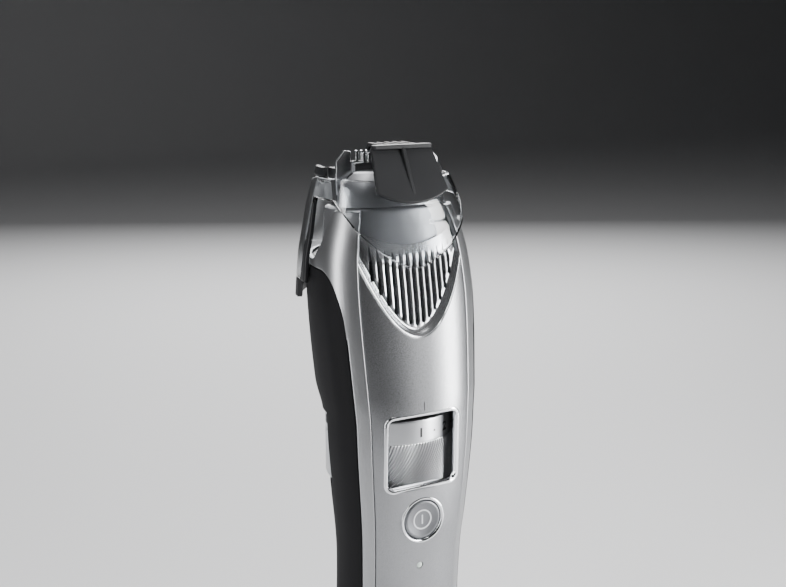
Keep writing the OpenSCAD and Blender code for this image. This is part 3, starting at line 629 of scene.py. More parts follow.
    @staticmethod
    def carve(obj: bpy.types.Object, cutters: Sequence[bpy.types.Object]) -> bpy.types.Object:
        """Cuts solids out of a piece and removes the cutters.

        Args:
            obj: the piece.
            cutters: closed meshes.

        Returns:
            The piece, with its holes in its mesh.
        """
        for cutter in cutters:
            cut = obj.modifiers.new("cut", "BOOLEAN")
            cut.operation = "DIFFERENCE"
            cut.solver = "EXACT"
            cut.object = cutter
        depsgraph = bpy.context.evaluated_depsgraph_get()
        mesh = bpy.data.meshes.new_from_object(obj.evaluated_get(depsgraph))
        obj.modifiers.clear()
        old = obj.data
        obj.data = mesh
        bpy.data.meshes.remove(old)
        for cutter in cutters:
            bpy.data.objects.remove(cutter)
        mesh.shade_smooth()
        mesh.set_sharp_from_angle(angle=math.radians(30))
        return obj


def rounded_outline(width: float, height: float, radius: float, per_corner: int = 10) -> Array:
    """Rectangle with quarter-circle corners, anticlockwise from its right side, as (x, z)."""
    turn = np.linspace(0, np.pi / 2, per_corner)
    corners = []
    for k, (sx, sz) in enumerate(((1, 1), (-1, 1), (-1, -1), (1, -1))):
        a = turn + k * np.pi / 2
        centre = (sx * (width / 2 - radius), sz * (height / 2 - radius))
        corners.append(np.column_stack([centre[0] + radius * np.cos(a), centre[1] + radius * np.sin(a)]))
    return np.concatenate(corners)


def circle_outline(radius: float, count: int = 72) -> Array:
    """Circle as (x, z)."""
    a = np.linspace(0, 2 * np.pi, count, endpoint=False)
    return np.column_stack([radius * np.cos(a), radius * np.sin(a)])


def facing_front(y: float, z: float = 0.0) -> Callable[[Array], Array]:
    """Places local (u, v, w) as x, z and thickness towards -Y, starting at y."""
    return lambda p: np.column_stack([p[:, 0], y - p[:, 2], p[:, 1] + z])


# ---------------------------------------------------------------- the object's plan


@dataclass
class Plan:
    """Sizes shared by the sub-assemblies. The frame's pieces give the levels and the dial's size."""

    foot_w: float = 35.0
    waist_w: float = 36.0
    shoulder_w: float = 45.0
    waist_front: float = 18.0
    shoulder_rear: float = 27.0
    skin: float = 1.2
    seam: float = 0.05
    axis_y: float = 2.1
    shoulder_rise: float = 30.0
    collar_rise: float = 12.0
    panel_edge: float = 230.2
    grip_edge: float = 213.5
    grip_arch: float = 17.4
    vent_rise: float = 22.6
    vent_curve: float = 0.08
    tongue_half: float = 72.0
    cradle_half: float = 63.0
    z_cap: float = 8.0
    z_dial: float = field(init=False)
    z_top: float = field(init=False)

    def __post_init__(self) -> None:
        """Reads the dial's level, height and radius from the frame and works out the sections."""
        low, high = (np.array(v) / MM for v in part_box("dial_drum"))
        self.z_dial, self.z_top = float(low[2]), float(high[2])
        self.dial_r = float(high[0])
        self.z_shoulder = self.z_top + self.shoulder_rise
        self.z_collar = self.z_shoulder + self.collar_rise
        self.z_head = self.z_collar + 14
        self.z_roof = self.z_collar - 0.2
        self.z_neck = self.z_collar + 14.6
        self.z_cradle = self.z_shoulder + 0.2
        self.grip_top = self.z_collar - 1.6
        self.vent_low = self.z_top + self.vent_rise
        self.dial_front = self.dial_r - self.axis_y + 1.6
        self.body = self.body_section()
        self.neck = self.neck_section()
        self.comb = self.comb_section()

    def body_section(self) -> Section:
        """Outline of the handle and the head."""
        half, front, waist, rear = self.dial_r + 2.2, self.dial_front, self.waist_front, self.shoulder_rear
        wide = self.shoulder_w / 2
        return Section((
            (0, self.foot_w / 2, waist - 4.4, 14),
            (22, self.foot_w / 2 + 0.8, waist - 3.8, 15.4),
            (self.z_dial - 36, self.waist_w / 2 - 0.3, waist - 3, 13.6),
            (self.z_dial - 20, self.waist_w / 2, waist - 2.2, 12.6),
            (self.z_dial - 9, max(self.waist_w / 2 + 0.8, self.dial_r + 0.6), front - 0.8, self.dial_r - 3.4),
            (self.z_dial + 10, half, front, self.dial_r + 1.8),
            (self.z_top + 0.7, half + 0.5, front, self.dial_r + 3.6),
            (self.z_top + 7, half + 1, front - 0.4, rear - 0.2),
            (self.z_shoulder, wide, front - 3.4, rear + 2),
            (self.z_collar, wide - 0.6, front - 5.6, rear + 1.2),
            (self.z_collar + 7, wide - 2, front - 7.1, rear - 2),
            (self.z_head, wide - 4.3, front - 9.4, rear - 8),
        ))

    def neck_section(self) -> Section:
        """Outline of the neck cover under the comb."""
        wide, front = self.shoulder_w / 2, self.dial_front
        return Section((
            (self.z_collar - 2, wide - 2.6, front - 9, 12.2),
            (self.z_collar + 6, wide - 3.8, front - 9.4, 12),
            (self.z_neck, wide - 5.2, front - 11.6, 10.6),
        ))

    def comb_section(self) -> Section:
        """Outline of the comb."""
        wide, front, rear = self.shoulder_w / 2, self.dial_front, self.shoulder_rear
        return Section((
            (self.z_shoulder - 1, wide + 2.1, front - 2, rear + 4.4),
            (self.z_collar, wide + 0.8, front - 3.9, rear + 3.4),
            (self.z_collar + 7, wide - 0.7, front - 4.7, rear + 2.6),
            (self.z_collar + 15, wide - 2.3, front - 6.7, rear + 0.5),
            (self.z_collar + 22, wide - 3.9, front - 10.2, rear - 4.5),
            (self.z_collar + 26, wide - 5, front - 12.2, rear - 8),
        ), rear_power=2.5)

    def grip_line(self, angle: Array) -> Array:
        """Top edge of the grip: level behind, a quarter ellipse down the side frame."""
        q = np.clip((np.abs(angle - 90) - 90) / (self.grip_edge - 180), 0, 1)
        return self.grip_top - self.grip_arch * (1 - np.sqrt(1 - q * q))

    def frame_top(self, angle: Array) -> Array:
        """Top edge of the side frame: low behind, eased up to the head at the sides."""
        low = self.z_roof + 0.7
        return low + (self.z_head - low) * smooth((np.abs(angle - 90) - 78) / 30)

    def comb_low(self, angle: Array) -> Array:
        """Lower edge of the comb: a rounded V in front, an arch at each side, a tongue behind."""
        away = np.abs(angle - 90)
        front = self.z_collar - 0.9 + 0.25 * (np.sqrt((180 - away) ** 2 + 9) - 3)
        tongue = self.z_cradle + 5.6
        arch = tongue + (self.z_collar + 16.5 - tongue) * smooth((away - self.tongue_half) / 8)
        return np.minimum(front, arch)

    def comb_high(self, angle: Array) -> Array:
        """Upper edge of the comb."""
        side = np.abs(np.cos(np.radians(angle)))
        front = np.sin(np.radians(angle)) < 0
        return np.where(front, self.z_collar + 21.5 + 0.7 * side, self.z_collar + 15.5 + 6.7 * side)

    def vent_edge(self, x: Array) -> Array:
        """Lower edge of the vent: a parabola that opens upwards."""
        return self.vent_low + self.vent_curve * x * x


def settle(piece: bpy.types.Object, body: str, finish: Finish, slot: str, *nodes: str) -> bpy.types.Object:
    """Dresses a piece, hangs it on its body and hides the CAD nodes that it replaces.

    Args:
        piece: the new piece.
        body: the CAD body that it rides on.
        finish: its finish.
        slot: not used.
        nodes: the CAD nodes that it replaces.

    Returns:
        The piece.
    """
    piece.data.materials.clear()
    piece.data.materials.append(Finishes.get(finish))
    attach(piece, body)
    if nodes:
        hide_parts(*nodes)
    LOG.info("%s: %d faces on %s", piece.name, len(piece.data.polygons), body)
    return piece


# ---------------------------------------------------------------- sub-assemblies


@dataclass
class Handle:
    """Painted panel, side frame, rubber grip and base cap."""

    plan: Plan
    edge_r: float = 0.45

    def wall(
        self,
        name: str,
        angles: Array,
        low: Callable[[Array], Array],
        high: Callable[[Array], Array],
        rows: int,
        bulge: Optional[Callable[[Array, Array], Array]] = None,
        flush: Optional[Callable[[Array, Array], Array]] = None,
    ) -> bpy.types.Object:
        """A skin of the body between two edges, with rounded margins.

        The height runs from low(angle) to high(angle). The depth of the outer grid is a quarter
        round of the distance to the nearest margin, taking a degree as a third of a millimetre.

        Args:
            name: the piece's name.
            angles: angles round the section, rising.
            low: lower edge at an angle.
            high: upper edge at an angle.
            rows: faces up the piece.
            bulge: extra depth at an angle and height.
            flush: distance added at a margin that meets its neighbour without a groove.

        Returns:
            The piece.
        """
        a = angles[:, None]
        v = crowded(rows, 0.35)[None, :]
        v = np.unique(np.concatenate([v[0], [0.0005, 0.0015, 0.003, 0.997, 0.9985, 0.9995]]))[None, :]
        z = low(a) + (high(a) - low(a)) * v
        side = np.minimum(np.abs(a - angles[0]), np.abs(angles[-1] - a)) / 3
        if flush is not None:
            side = side + flush(a, z)
        margin = np.minimum(np.minimum(z - low(a), high(a) - z), side)
        depth = round_edge(margin, self.edge_r)
        if bulge is not None:
            depth = depth + bulge(a, z)
        body = self.plan.body
        return Mesher.shell(name, body.point(a, z, depth), body.point(a, z, self.plan.skin))

    def margins(self, first: float, last: float, count: int) -> Array:
        """Angles between two seams, with close ones at both ends for the rounded margin."""
        near = np.array([0.25, 0.55, 0.95])
        return np.concatenate(
            [[first], first + near, np.linspace(first + 1.6, last - 1.6, count), last - near[::-1], [last]]
        )

    def panel(self) -> None:
        """The painted front panel, with its window, button hole and lamp hole; the vent bounds its top."""
        plan = self.plan
        edge = plan.panel_edge

        def top(angle: Array) -> Array:
            """Top edge: the vent's parabola, found at the panel's own x by three corrections."""
            z = np.full(np.shape(angle), plan.z_collar)
            for _ in range(6):
                x = plan.body.point(angle, z)[..., 0]
                z = np.minimum(0.5 * z + 0.5 * plan.vent_edge(x), plan.z_head)
            return z

        angles = self.margins(edge, 540 - edge, 110)
        piece = self.wall("panel", angles, lambda a: np.full(np.shape(a), plan.z_cap + plan.seam), top, 240)
        window = np.array([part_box("window_bezel")[0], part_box("window_bezel")[1]]) / MM
        ring = np.array([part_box("button_ring")[0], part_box("button_ring")[1]]) / MM
        lens = np.array([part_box("charge_lens")[0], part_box("charge_lens")[1]]) / MM
        size, middle = window[1] - window[0], (window[0] + window[1]) / 2
        cutters = [
            Mesher.prism(
                "window_cut", rounded_outline(size[0] - 0.4, size[2] - 0.4, 2.6),
                facing_front(-8, middle[2]), 20, 0
            ),
            Mesher.prism(
                "button_cut", circle_outline((ring[1, 0] - ring[0, 0]) / 2 - 0.05),
                facing_front(-8, (ring[0, 2] + ring[1, 2]) / 2), 20, 0
            ),
            Mesher.prism(
                "lamp_cut", circle_outline(1.0, 32), facing_front(-8, (lens[0, 2] + lens[1, 2]) / 2), 20, 0
            ),
        ]
        Mesher.carve(piece, cutters)
        settle(piece, "housing", Finishes.PANEL, "painted_silver", "front_panel")

    def side_frame(self) -> None:
        """The silver frame: two legs beside the panel that run up into the head."""
        plan = self.plan
        gap = plan.seam * 3
        joint = plan.grip_top - plan.grip_arch
        head = self.wall("head_frame", np.linspace(180 - plan.grip_edge, plan.grip_edge, 200),
                         lambda a: plan.grip_line(a) + plan.seam, plan.frame_top, 40,
                         flush=lambda a, z: 9 + 0 * z)
        Mesher.carve(head, [self.arm_slot()])
        settle(head, "housing", Finishes.FRAME, "painted_silver", "side_frame")
        for side, first in (("left", plan.grip_edge), ("right", 180 - plan.panel_edge + gap)):
            last = plan.panel_edge - gap if side == "left" else 180 - plan.grip_edge
            inner = first if side == "left" else last

            def flush(a: Array, z: Array, inner: float = inner) -> Array:
                """No groove beside the head, a groove beside the grip."""
                return 9 * smooth((z - joint) / 1.2) * smooth((5 - np.abs(a - inner)) / 1.0)

            leg = self.wall(f"frame_leg_{side}", self.margins(first, last, 16),
                            lambda a: np.full(np.shape(a), plan.z_cap + plan.seam),
                            plan.frame_top, 200, flush=flush)
            settle(leg, "housing", Finishes.FRAME, "painted_silver", "side_frame")

    def arm_slot(self) -> bpy.types.Object:
        """The cutter for the slot that the lifter's arm climbs in."""
        plan = self.plan
        low = plan.z_cradle - 0.1
        notch = np.array([[-3.5, low], [3.5, low], [3.5, plan.z_collar + 9], [-3.5, plan.z_collar + 9]])
        return Mesher.prism("slot", notch, facing_front(45), 32, 0)

    def grip(self) -> None:
        """The rubber grip, open round the rear of the dial with a dished lip above and below."""
        plan = self.plan

        def dish(angle: Array, z: Array) -> Array:
            """Depth of the finger scoop: falls off with height from the opening and towards the front."""
            away = np.maximum(plan.z_dial - 0.7 - z, z - plan.z_top - 0.7)
            behind = smooth((75 - np.abs(angle - 90)) / 25)
            return 0.5 * behind * np.exp(-((np.maximum(away, 0) / 3.0) ** 2))

        angles = self.margins(180 - plan.grip_edge, plan.grip_edge, 150)
        piece = self.wall(
            "grip", angles, lambda a: np.full(np.shape(a), plan.z_cap + plan.seam), plan.grip_line, 220,
            dish
        )
        side = np.array(
            [
                [-40, plan.z_dial - 0.7], [40, plan.z_dial - 0.7], [40, plan.z_top + 0.7],
                [-40, plan.z_top + 0.7]
            ]
        )
        opening = Mesher.prism("opening", side, facing_front(45), 45 - plan.axis_y + 2, 0)
        Mesher.carve(piece, [opening, self.arm_slot()])
        settle(piece, "housing", Finishes.RUBBER, "rubber", "rear_grip")

    def build(self) -> None:
        """Builds the handle's skins."""
        self.panel()
        self.side_frame()
        self.grip()


@dataclass
class Vent:
    """The vent: a bevelled parabolic rim, upright fins between pointed slots, and a crescent on top."""

    plan: Plan
    pitch: float = 1.95
    slot: float = 1.12
    rim: float = 2.5
    sunk: float = 1.5
    point: float = 5.0

    def depth(self, x: Array, rise: Array) -> Array:
        """Depth of the front surface below the panel's surface.

        The rim is a small round, then a slope down to the fins. Each fin is a shallow roof whose
        ridge lies midway between two slots.

        Args:
            x: distance from the middle.
            rise: height above the vent's lower edge.

        Returns:
            Depths.
        """
        inside = rise / np.sqrt(1 + (2 * self.plan.vent_curve * x) ** 2)
        off = np.abs((x / self.pitch + 0.5) % 1 - 0.5) * self.pitch
        crown = 0.3 * np.clip(off / (self.pitch / 2), 0, 1) * smooth((inside - self.rim) / 1.0)
        top = self.plan.z_collar + 3.4 - self.plan.vent_edge(x) - rise
        return round_edge(inside, 0.3) + self.sunk * smooth(inside / self.rim) - crown * smooth(top / 3)

    def slots(self) -> list[bpy.types.Object]:
        """Cutters for the slots: round at the foot, tapered to a point at the top."""
        cutters = []
        turn = np.linspace(np.pi, 2 * np.pi, 9)
        r = self.slot / 2
        for k in range(-6, 7):
            x = k * self.pitch
            foot = float(self.plan.vent_edge(np.array(x))) + self.rim + 0.5 + 0.12 * abs(x)
            top = self.plan.z_collar + 2.6 + 0.02 * x * x
            arc = np.column_stack([x + r * np.cos(turn), foot + r * (1 + np.sin(turn))])
            outline = np.concatenate(
                [
                    arc,
                    [[x + r, top - self.point], [x + 0.1, top], [x - 0.1, top], [x - r, top - self.point]]
                ]
            )
            cutters.append(Mesher.prism("slot", outline, facing_front(0), 30, 0))
        return cutters

    def build(self) -> None:
        """Builds the plate over the panel's surface, cuts its slots and backs it with a black plate: painted
        shade deep inside the slots.
        """
        plan = self.plan
        x = np.linspace(-15.4, 15.4, 240)[:, None]
        low = plan.vent_edge(x)
        height = np.maximum(plan.z_collar + 4.9 + 0.02 * x * x - low, 0.4)
        v = np.concatenate([np.linspace(0, 0.12, 16)[:-1], np.linspace(0.12, 1, 60)])[None, :]
        z = low + height * v
        front = plan.body.front_at(x, z, np.clip(self.depth(x, height * v), 0.02, None))
        piece = Mesher.shell("vent", front, plan.body.front_at(x, z, 2.9))
        Mesher.carve(piece, self.slots())
        settle(piece, "housing", Finishes.FINS, "painted_silver", "vent_grille")
        # A black plate behind the slots: painted shade that stands for the dark depth inside them.
        z = low + 1.2 + (height - 1.6).clip(0.1) * np.linspace(0, 1, 20)[None, :]
        backing = Mesher.shell("vent_slot_painted_shade", plan.body.front_at(x, z, 3.5), plan.body.front_at(x, z, 4.1))
        settle(backing, "housing", Finishes.BLACK, "black_plastic")


@dataclass
class Neck:
    """The grey neck cover that rises through the comb to the blades."""

    plan: Plan
    wall: float = 1.4
    stem_x: float = 4.2
    stem_y: float = 1.4
    hood_rise: float = 9.2
    hood_wall: float = 1.1
    blade_gap: float = 0.5

    def build(self) -> None:
        """Builds the cover: a tube along the neck's section that rolls over into a roof."""
        plan = self.plan
        angle = np.linspace(0, 360, 160, endpoint=False)[:, None]
        v = np.linspace(0, 1, 50)[None, :]
        z = plan.z_collar - 1.9 + (plan.z_neck - plan.z_collar + 1.9) * v
        depth = round_edge(plan.z_neck - z, 1.2)
        side = plan.neck.point(angle, z, depth)
        inward = np.linspace(0, 1, 8)[None, 1:, None]
        centre = np.array([0.0, plan.axis_y - 4.1, plan.z_neck])
        cos, sin = np.cos(np.radians(angle)), np.sin(np.radians(angle))
        opening = np.stack([self.stem_x * np.sign(cos) * np.abs(cos) ** 0.3,
                            self.stem_y * np.sign(sin) * np.abs(sin) ** 0.3,
                            np.zeros_like(angle)], -1) + centre
        roof = side[:, -1:, :] * (1 - inward) + opening * inward
        outer = np.concatenate([side, roof], 1)
        low = outer.copy()
        low[:, :50, :] = plan.neck.point(angle, z, self.wall)
        low[:, 50:, 2] -= self.wall
        low[:, :50, 2] = np.minimum(low[:, :50, 2], plan.z_neck - self.wall)
        piece = Mesher.shell("neck", outer, low, closed=True)
        settle(piece, "housing", Finishes.NECK, "neck_grey", "neck_cover")
        self.hood()

    def hood(self) -> None:
        """The hood that leans back from the roof, in front of the blades and over the yoke's foot."""
        plan = self.plan
        section = Section((
            (plan.z_neck - 0.2, plan.shoulder_w / 2 - 5.2, plan.dial_front - 11.6, 10.6),
            (plan.z_neck + 4, plan.shoulder_w / 2 - 5.6, plan.dial_front - 12.9, 10),
            (plan.z_neck + self.hood_rise, plan.shoulder_w / 2 - 6.4, plan.dial_front - 17.2, 9),
        ))
        limit = float(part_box("moving_blade")[0][1]) / MM - self.blade_gap
        z = (plan.z_neck - 0.1 + self.hood_rise * crowded(24, 0.5))[None, :]
        dense = np.linspace(182, 270, 400)[:, None]
        first = dense[np.argmin(np.abs(section.point(dense, z)[..., 1] - limit), axis=0), 0][None, :]
        angle = first + (540 - 2 * first) * np.linspace(0, 1, 90)[:, None]
        top = round_edge(plan.z_neck - 0.1 + self.hood_rise - z, 0.5)
        inner = section.point(angle, z, self.hood_wall + 0 * z)
        piece = Mesher.shell("hood", section.point(angle, z, top), inner)
        settle(piece, "housing", Finishes.NECK, "neck_grey")


@dataclass
class Window:
    """The bright frame of the dial's window and the index mark above it."""

    plan: Plan

    def build(self) -> None:
        """Carries the frame's profile round a rounded rectangle that lies on the panel's surface."""
        plan = self.plan
        low, high = (np.array(v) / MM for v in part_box("window_bezel"))
        middle = (low[2] + high[2]) / 2
        width, height = high[0] - low[0], high[2] - low[2]
        profile = np.array([[0.0, 1.15], [0.0, -0.08], [0.06, -0.18], [0.18, -0.22], [0.75, -0.2],
                            [1.0, -0.1],
                            [1.3, 0.35], [1.5, 0.8], [1.5, 1.18]])
        loops = []
        for inset, depth in profile:
            outline = rounded_outline(width - 2 * inset, height - 2 * inset, max(2.8 - inset * 0.8, 1.2), 14)
            loops.append(plan.body.front_at(outline[:, 0], outline[:, 1] + middle, depth))
        frame = Mesher.ring("window_frame", np.stack(loops, 1))
        settle(frame, "housing", Finishes.CHROME, "chrome", "window_bezel")
        mark_z = high[2] + np.linspace(0.5, 2.9, 12)[None, :]
        mark_x = np.array([-0.13, -0.1, 0.1, 0.13])[:, None]
        mark = Mesher.shell(
            "index_mark", plan.body.front_at(mark_x, mark_z, -0.04), plan.body.front_at(mark_x, mark_z, 0.3)
        )
        settle(mark, "housing", Finishes.INK, "painted_silver")


@dataclass
class Dial:
    """The height dial: a knurled drum, a plain band and its numbers."""

    plan: Plan
    ridges: int = 124
    ridge_depth: float = 0.45
    bore: float = 15.0
    band_wall: float = 1.2
    step: float = 28.0
    digit: float = 2.5

    def drum(self) -> None:
        """The knurled drum.

        A ridge is a raised cosine of the angle. Its phase shifts with height: little at the top and
        more towards the bottom, so that the ridges curve. Fine rings cut across them.
        """
        plan = self.plan
        band = np.array(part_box("number_ring")) / MM
        z0, z1 = plan.z_dial, float(band[0, 2])
        angle = np.linspace(0, 2 * np.pi, self.ridges * 10, endpoint=False)[:, None]
        z = np.concatenate([[z0], z0 + crowded(70, 0.2)[1:-1] * (z1 - z0), [z1]])[None, :]
        down = (z1 - z) / (z1 - z0)
        phase = self.ridges * (angle + 0.2 * down + 0.35 * down**2)
        ridge = (0.5 + 0.5 * np.cos(phase)) ** 0.7
        rings = 0.5 + 0.5 * np.cos(2 * np.pi * (z - z0) / 0.62)
        ends = smooth((z - z0) / 0.6) * smooth((z1 - z) / 0.5)
        r = plan.dial_r - 0.02 - self.ridge_depth * (
            (1 - ridge) + 0.25 * (1 - rings) * ridge
        ) * ends - 0.4 * (1 - ends)
        self.ringed("dial_knurl", angle, z, r, "dial_drum", self.bore)

    def ringed(self, name: str, angle: Array, z: Array, r: Array, node: str, bore: float) -> None:
        """A ring with a shaped outside and a plain bore, on the dial's axis."""
        angle, z = np.broadcast_arrays(angle, z)
        outer = np.stack([r * np.cos(angle), r * np.sin(angle) + self.plan.axis_y, z], -1)
        inner = np.stack([bore * np.cos(angle), bore * np.sin(angle) + self.plan.axis_y, z], -1)
        piece = Mesher.shell(name, outer, inner, closed=True, angle=50)
        settle(piece, "dial", Finishes.SATIN, "satin_silver", node)

    def band(self) -> None:
        """The number band, with small chamfers and a fine step over the knurl."""
        band = np.array(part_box("number_ring")) / MM
        z0, z1 = float(band[0, 2]), float(band[1, 2])
        band_bore = self.plan.dial_r - self.band_wall
        angle = np.linspace(0, 2 * np.pi, 240, endpoint=False)[:, None]
        z = np.concatenate(
            [[z0, z0 + 0.1, z0 + 0.25], np.linspace(z0 + 0.6, z1 - 0.6, 8), [z1 - 0.25, z1 - 0.1, z1]]
        )[None, :]
        edge = round_edge(np.minimum(z - z0, z1 - z), 0.25)
        self.ringed("dial_band", angle, z, float(band[1, 0]) - edge + 0 * angle, "number_ring", band_bore)

    def numbers(self) -> None:
        """The settings 1 to 10 with a dot at each half, printed round the band."""
        band = np.array(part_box("number_ring")) / MM
        middle = float(band[0, 2] + band[1, 2]) / 2 - 0.4
        r = float(band[1, 0]) + 0.03
        marks: list[bpy.types.Object] = []
        for k in range(10):
            curve = bpy.data.curves.new("digits", "FONT")
            curve.body = str(k + 1)
            curve.size = self.digit * 1.4
            curve.align_x = "CENTER"
            curve.align_y = "CENTER"
            curve.extrude = 0.02
            curve.offset = 0.13
            curve.resolution_u = 4
            text = bpy.data.objects.new("digits", curve)
            bpy.context.scene.collection.objects.link(text)
            mesh = bpy.data.meshes.new_from_object(text.evaluated_get(bpy.context.evaluated_depsgraph_get()))
            bpy.data.objects.remove(text)
            marks.append(self.wrap(mesh, math.radians(270 + self.step * k), r, middle))
            if k < 9:
                dot = Mesher.prism(
                    "dot", circle_outline(0.3, 20), lambda p: np.column_stack([p[:, 0], p[:, 1], p[:, 2]]),
                    0.03, 0
                )
                mesh = dot.data
                points = np.empty(len(mesh.vertices) * 3)
                mesh.vertices.foreach_get("co", points)
                mesh.vertices.foreach_set("co", points / MM)
                bpy.data.objects.remove(dot)
                marks.append(self.wrap(mesh, math.radians(270 + self.step * (k + 0.5)), r, middle))
        context = {"active_object": marks[0], "selected_editable_objects": marks}
        with bpy.context.temp_override(**context):
            bpy.ops.object.join()
        piece = marks[0]
        piece.name = "dial_numbers"
        settle(piece, "dial", Finishes.INK, "black_plastic")

    def wrap(self, mesh: bpy.types.Mesh, centre: float, r: float, z: float) -> bpy.types.Object:
        """Bends a flat mark round the band: its x becomes an arc length, its z a height off the band.

        Args:
            mesh: the mark, in millimetres, in its own plane.
            centre: angle of its middle.
            r: radius of the band.
            z: height of its middle.

        Returns:
            The mark's object, in metres.
        """
        points = np.empty(len(mesh.vertices) * 3)
        mesh.vertices.foreach_get("co", points)
        p = points.reshape(-1, 3)
        angle = centre + p[:, 0] / r
        reach = r + p[:, 2]
        bent = np.column_stack([reach * np.cos(angle), reach * np.sin(angle) + self.plan.axis_y, p[:, 1] + z])
        mesh.vertices.foreach_set("co", (bent * MM).ravel())
        mesh.update()
        made = bpy.data.objects.new("mark", mesh)
        bpy.context.scene.collection.objects.link(made)
        return made

    def build(self) -> None:
        """Builds the dial."""
        self.drum()
        self.band()
        self.numbers()


@dataclass
class Button:
    """The power button, its bright ring and the lamp below it."""

    plan: Plan

    def turned(
        self, name: str, profile: Sequence[tuple[float, float]], z: float, count: int = 96
    ) -> bpy.types.Object:
        """Turns a closed profile of (radius, y) about an axis along Y at height z."""
        a = np.linspace(0, 2 * np.pi, count, endpoint=False)[:, None]
        r, y = np.array(profile, float).T
        loops = np.stack([r * np.cos(a), np.broadcast_to(y, (count, len(r))), z + r * np.sin(a)], -1)
        return Mesher.ring(name, loops)

    def build(self) -> None:
        """Builds the ring, the dished cap with its icon, and the lens."""
        low, high = (np.array(v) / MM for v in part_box("button_ring"))
        z = (low[2] + high[2]) / 2
        front, outer = low[1], (high[0] - low[0]) / 2
        cap_low, cap_high = (np.array(v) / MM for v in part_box("power_button"))
        cap_r = (cap_high[0] - cap_low[0]) / 2
        hole = cap_r + 0.2
        ring = self.turned("button_ring_trim", [
            (outer, high[1]), (outer, front + 0.3), (outer - 0.1, front + 0.08), (outer - 0.35, front),
            (hole + 0.45, front + 0.02), (hole + 0.12, front + 0.3), (hole, front + 0.7), (hole, high[1])], z)
        settle(ring, "housing", Finishes.CHROME, "chrome", "button_ring")
        face = cap_low[1]
        cap = self.turned("button_cap", [
            (1e-3, cap_high[1]), (1.5, cap_high[1]), (1.5, face + 1.5),
            (cap_r, face + 1.5), (cap_r, face + 0.3),
            (cap_r - 0.12, face + 0.1), (cap_r - 0.4, face), (cap_r - 0.8, face + 0.06),
            (cap_r * 0.6, face + 0.3), (cap_r * 0.3, face + 0.4), (1e-3, face + 0.42)], z)
        settle(cap, "power_button", Finishes.CAP, "satin_silver", "power_button")
        icon = self.turned(
            "power_mark",
            [(2.45, face + 0.5), (2.45, face + 0.26), (2.85, face + 0.22), (2.85, face + 0.5)], z
        )
        settle(icon, "power_button", Finishes.WHITE_INK, "satin_silver")
        bar = Mesher.prism(
            "power_bar", rounded_outline(0.42, 2.7, 0.2, 6), facing_front(face + 0.5, z), 0.2, 0.03
        )
        settle(bar, "power_button", Finishes.WHITE_INK, "satin_silver")
        lens_low, lens_high = (np.array(v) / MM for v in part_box("charge_lens"))
        lens_r = (lens_high[0] - lens_low[0]) / 2
        lens = self.turned("lamp_lens", [
            (1e-3, lens_high[1]), (lens_r, lens_high[1]), (lens_r, lens_low[1] + 0.25),
            (lens_r * 0.7, lens_low[1] + 0.06), (1e-3, lens_low[1])], (lens_low[2] + lens_high[2]) / 2, 40)
        settle(lens, "housing", Finishes.LAMP, "clear", "charge_lens")


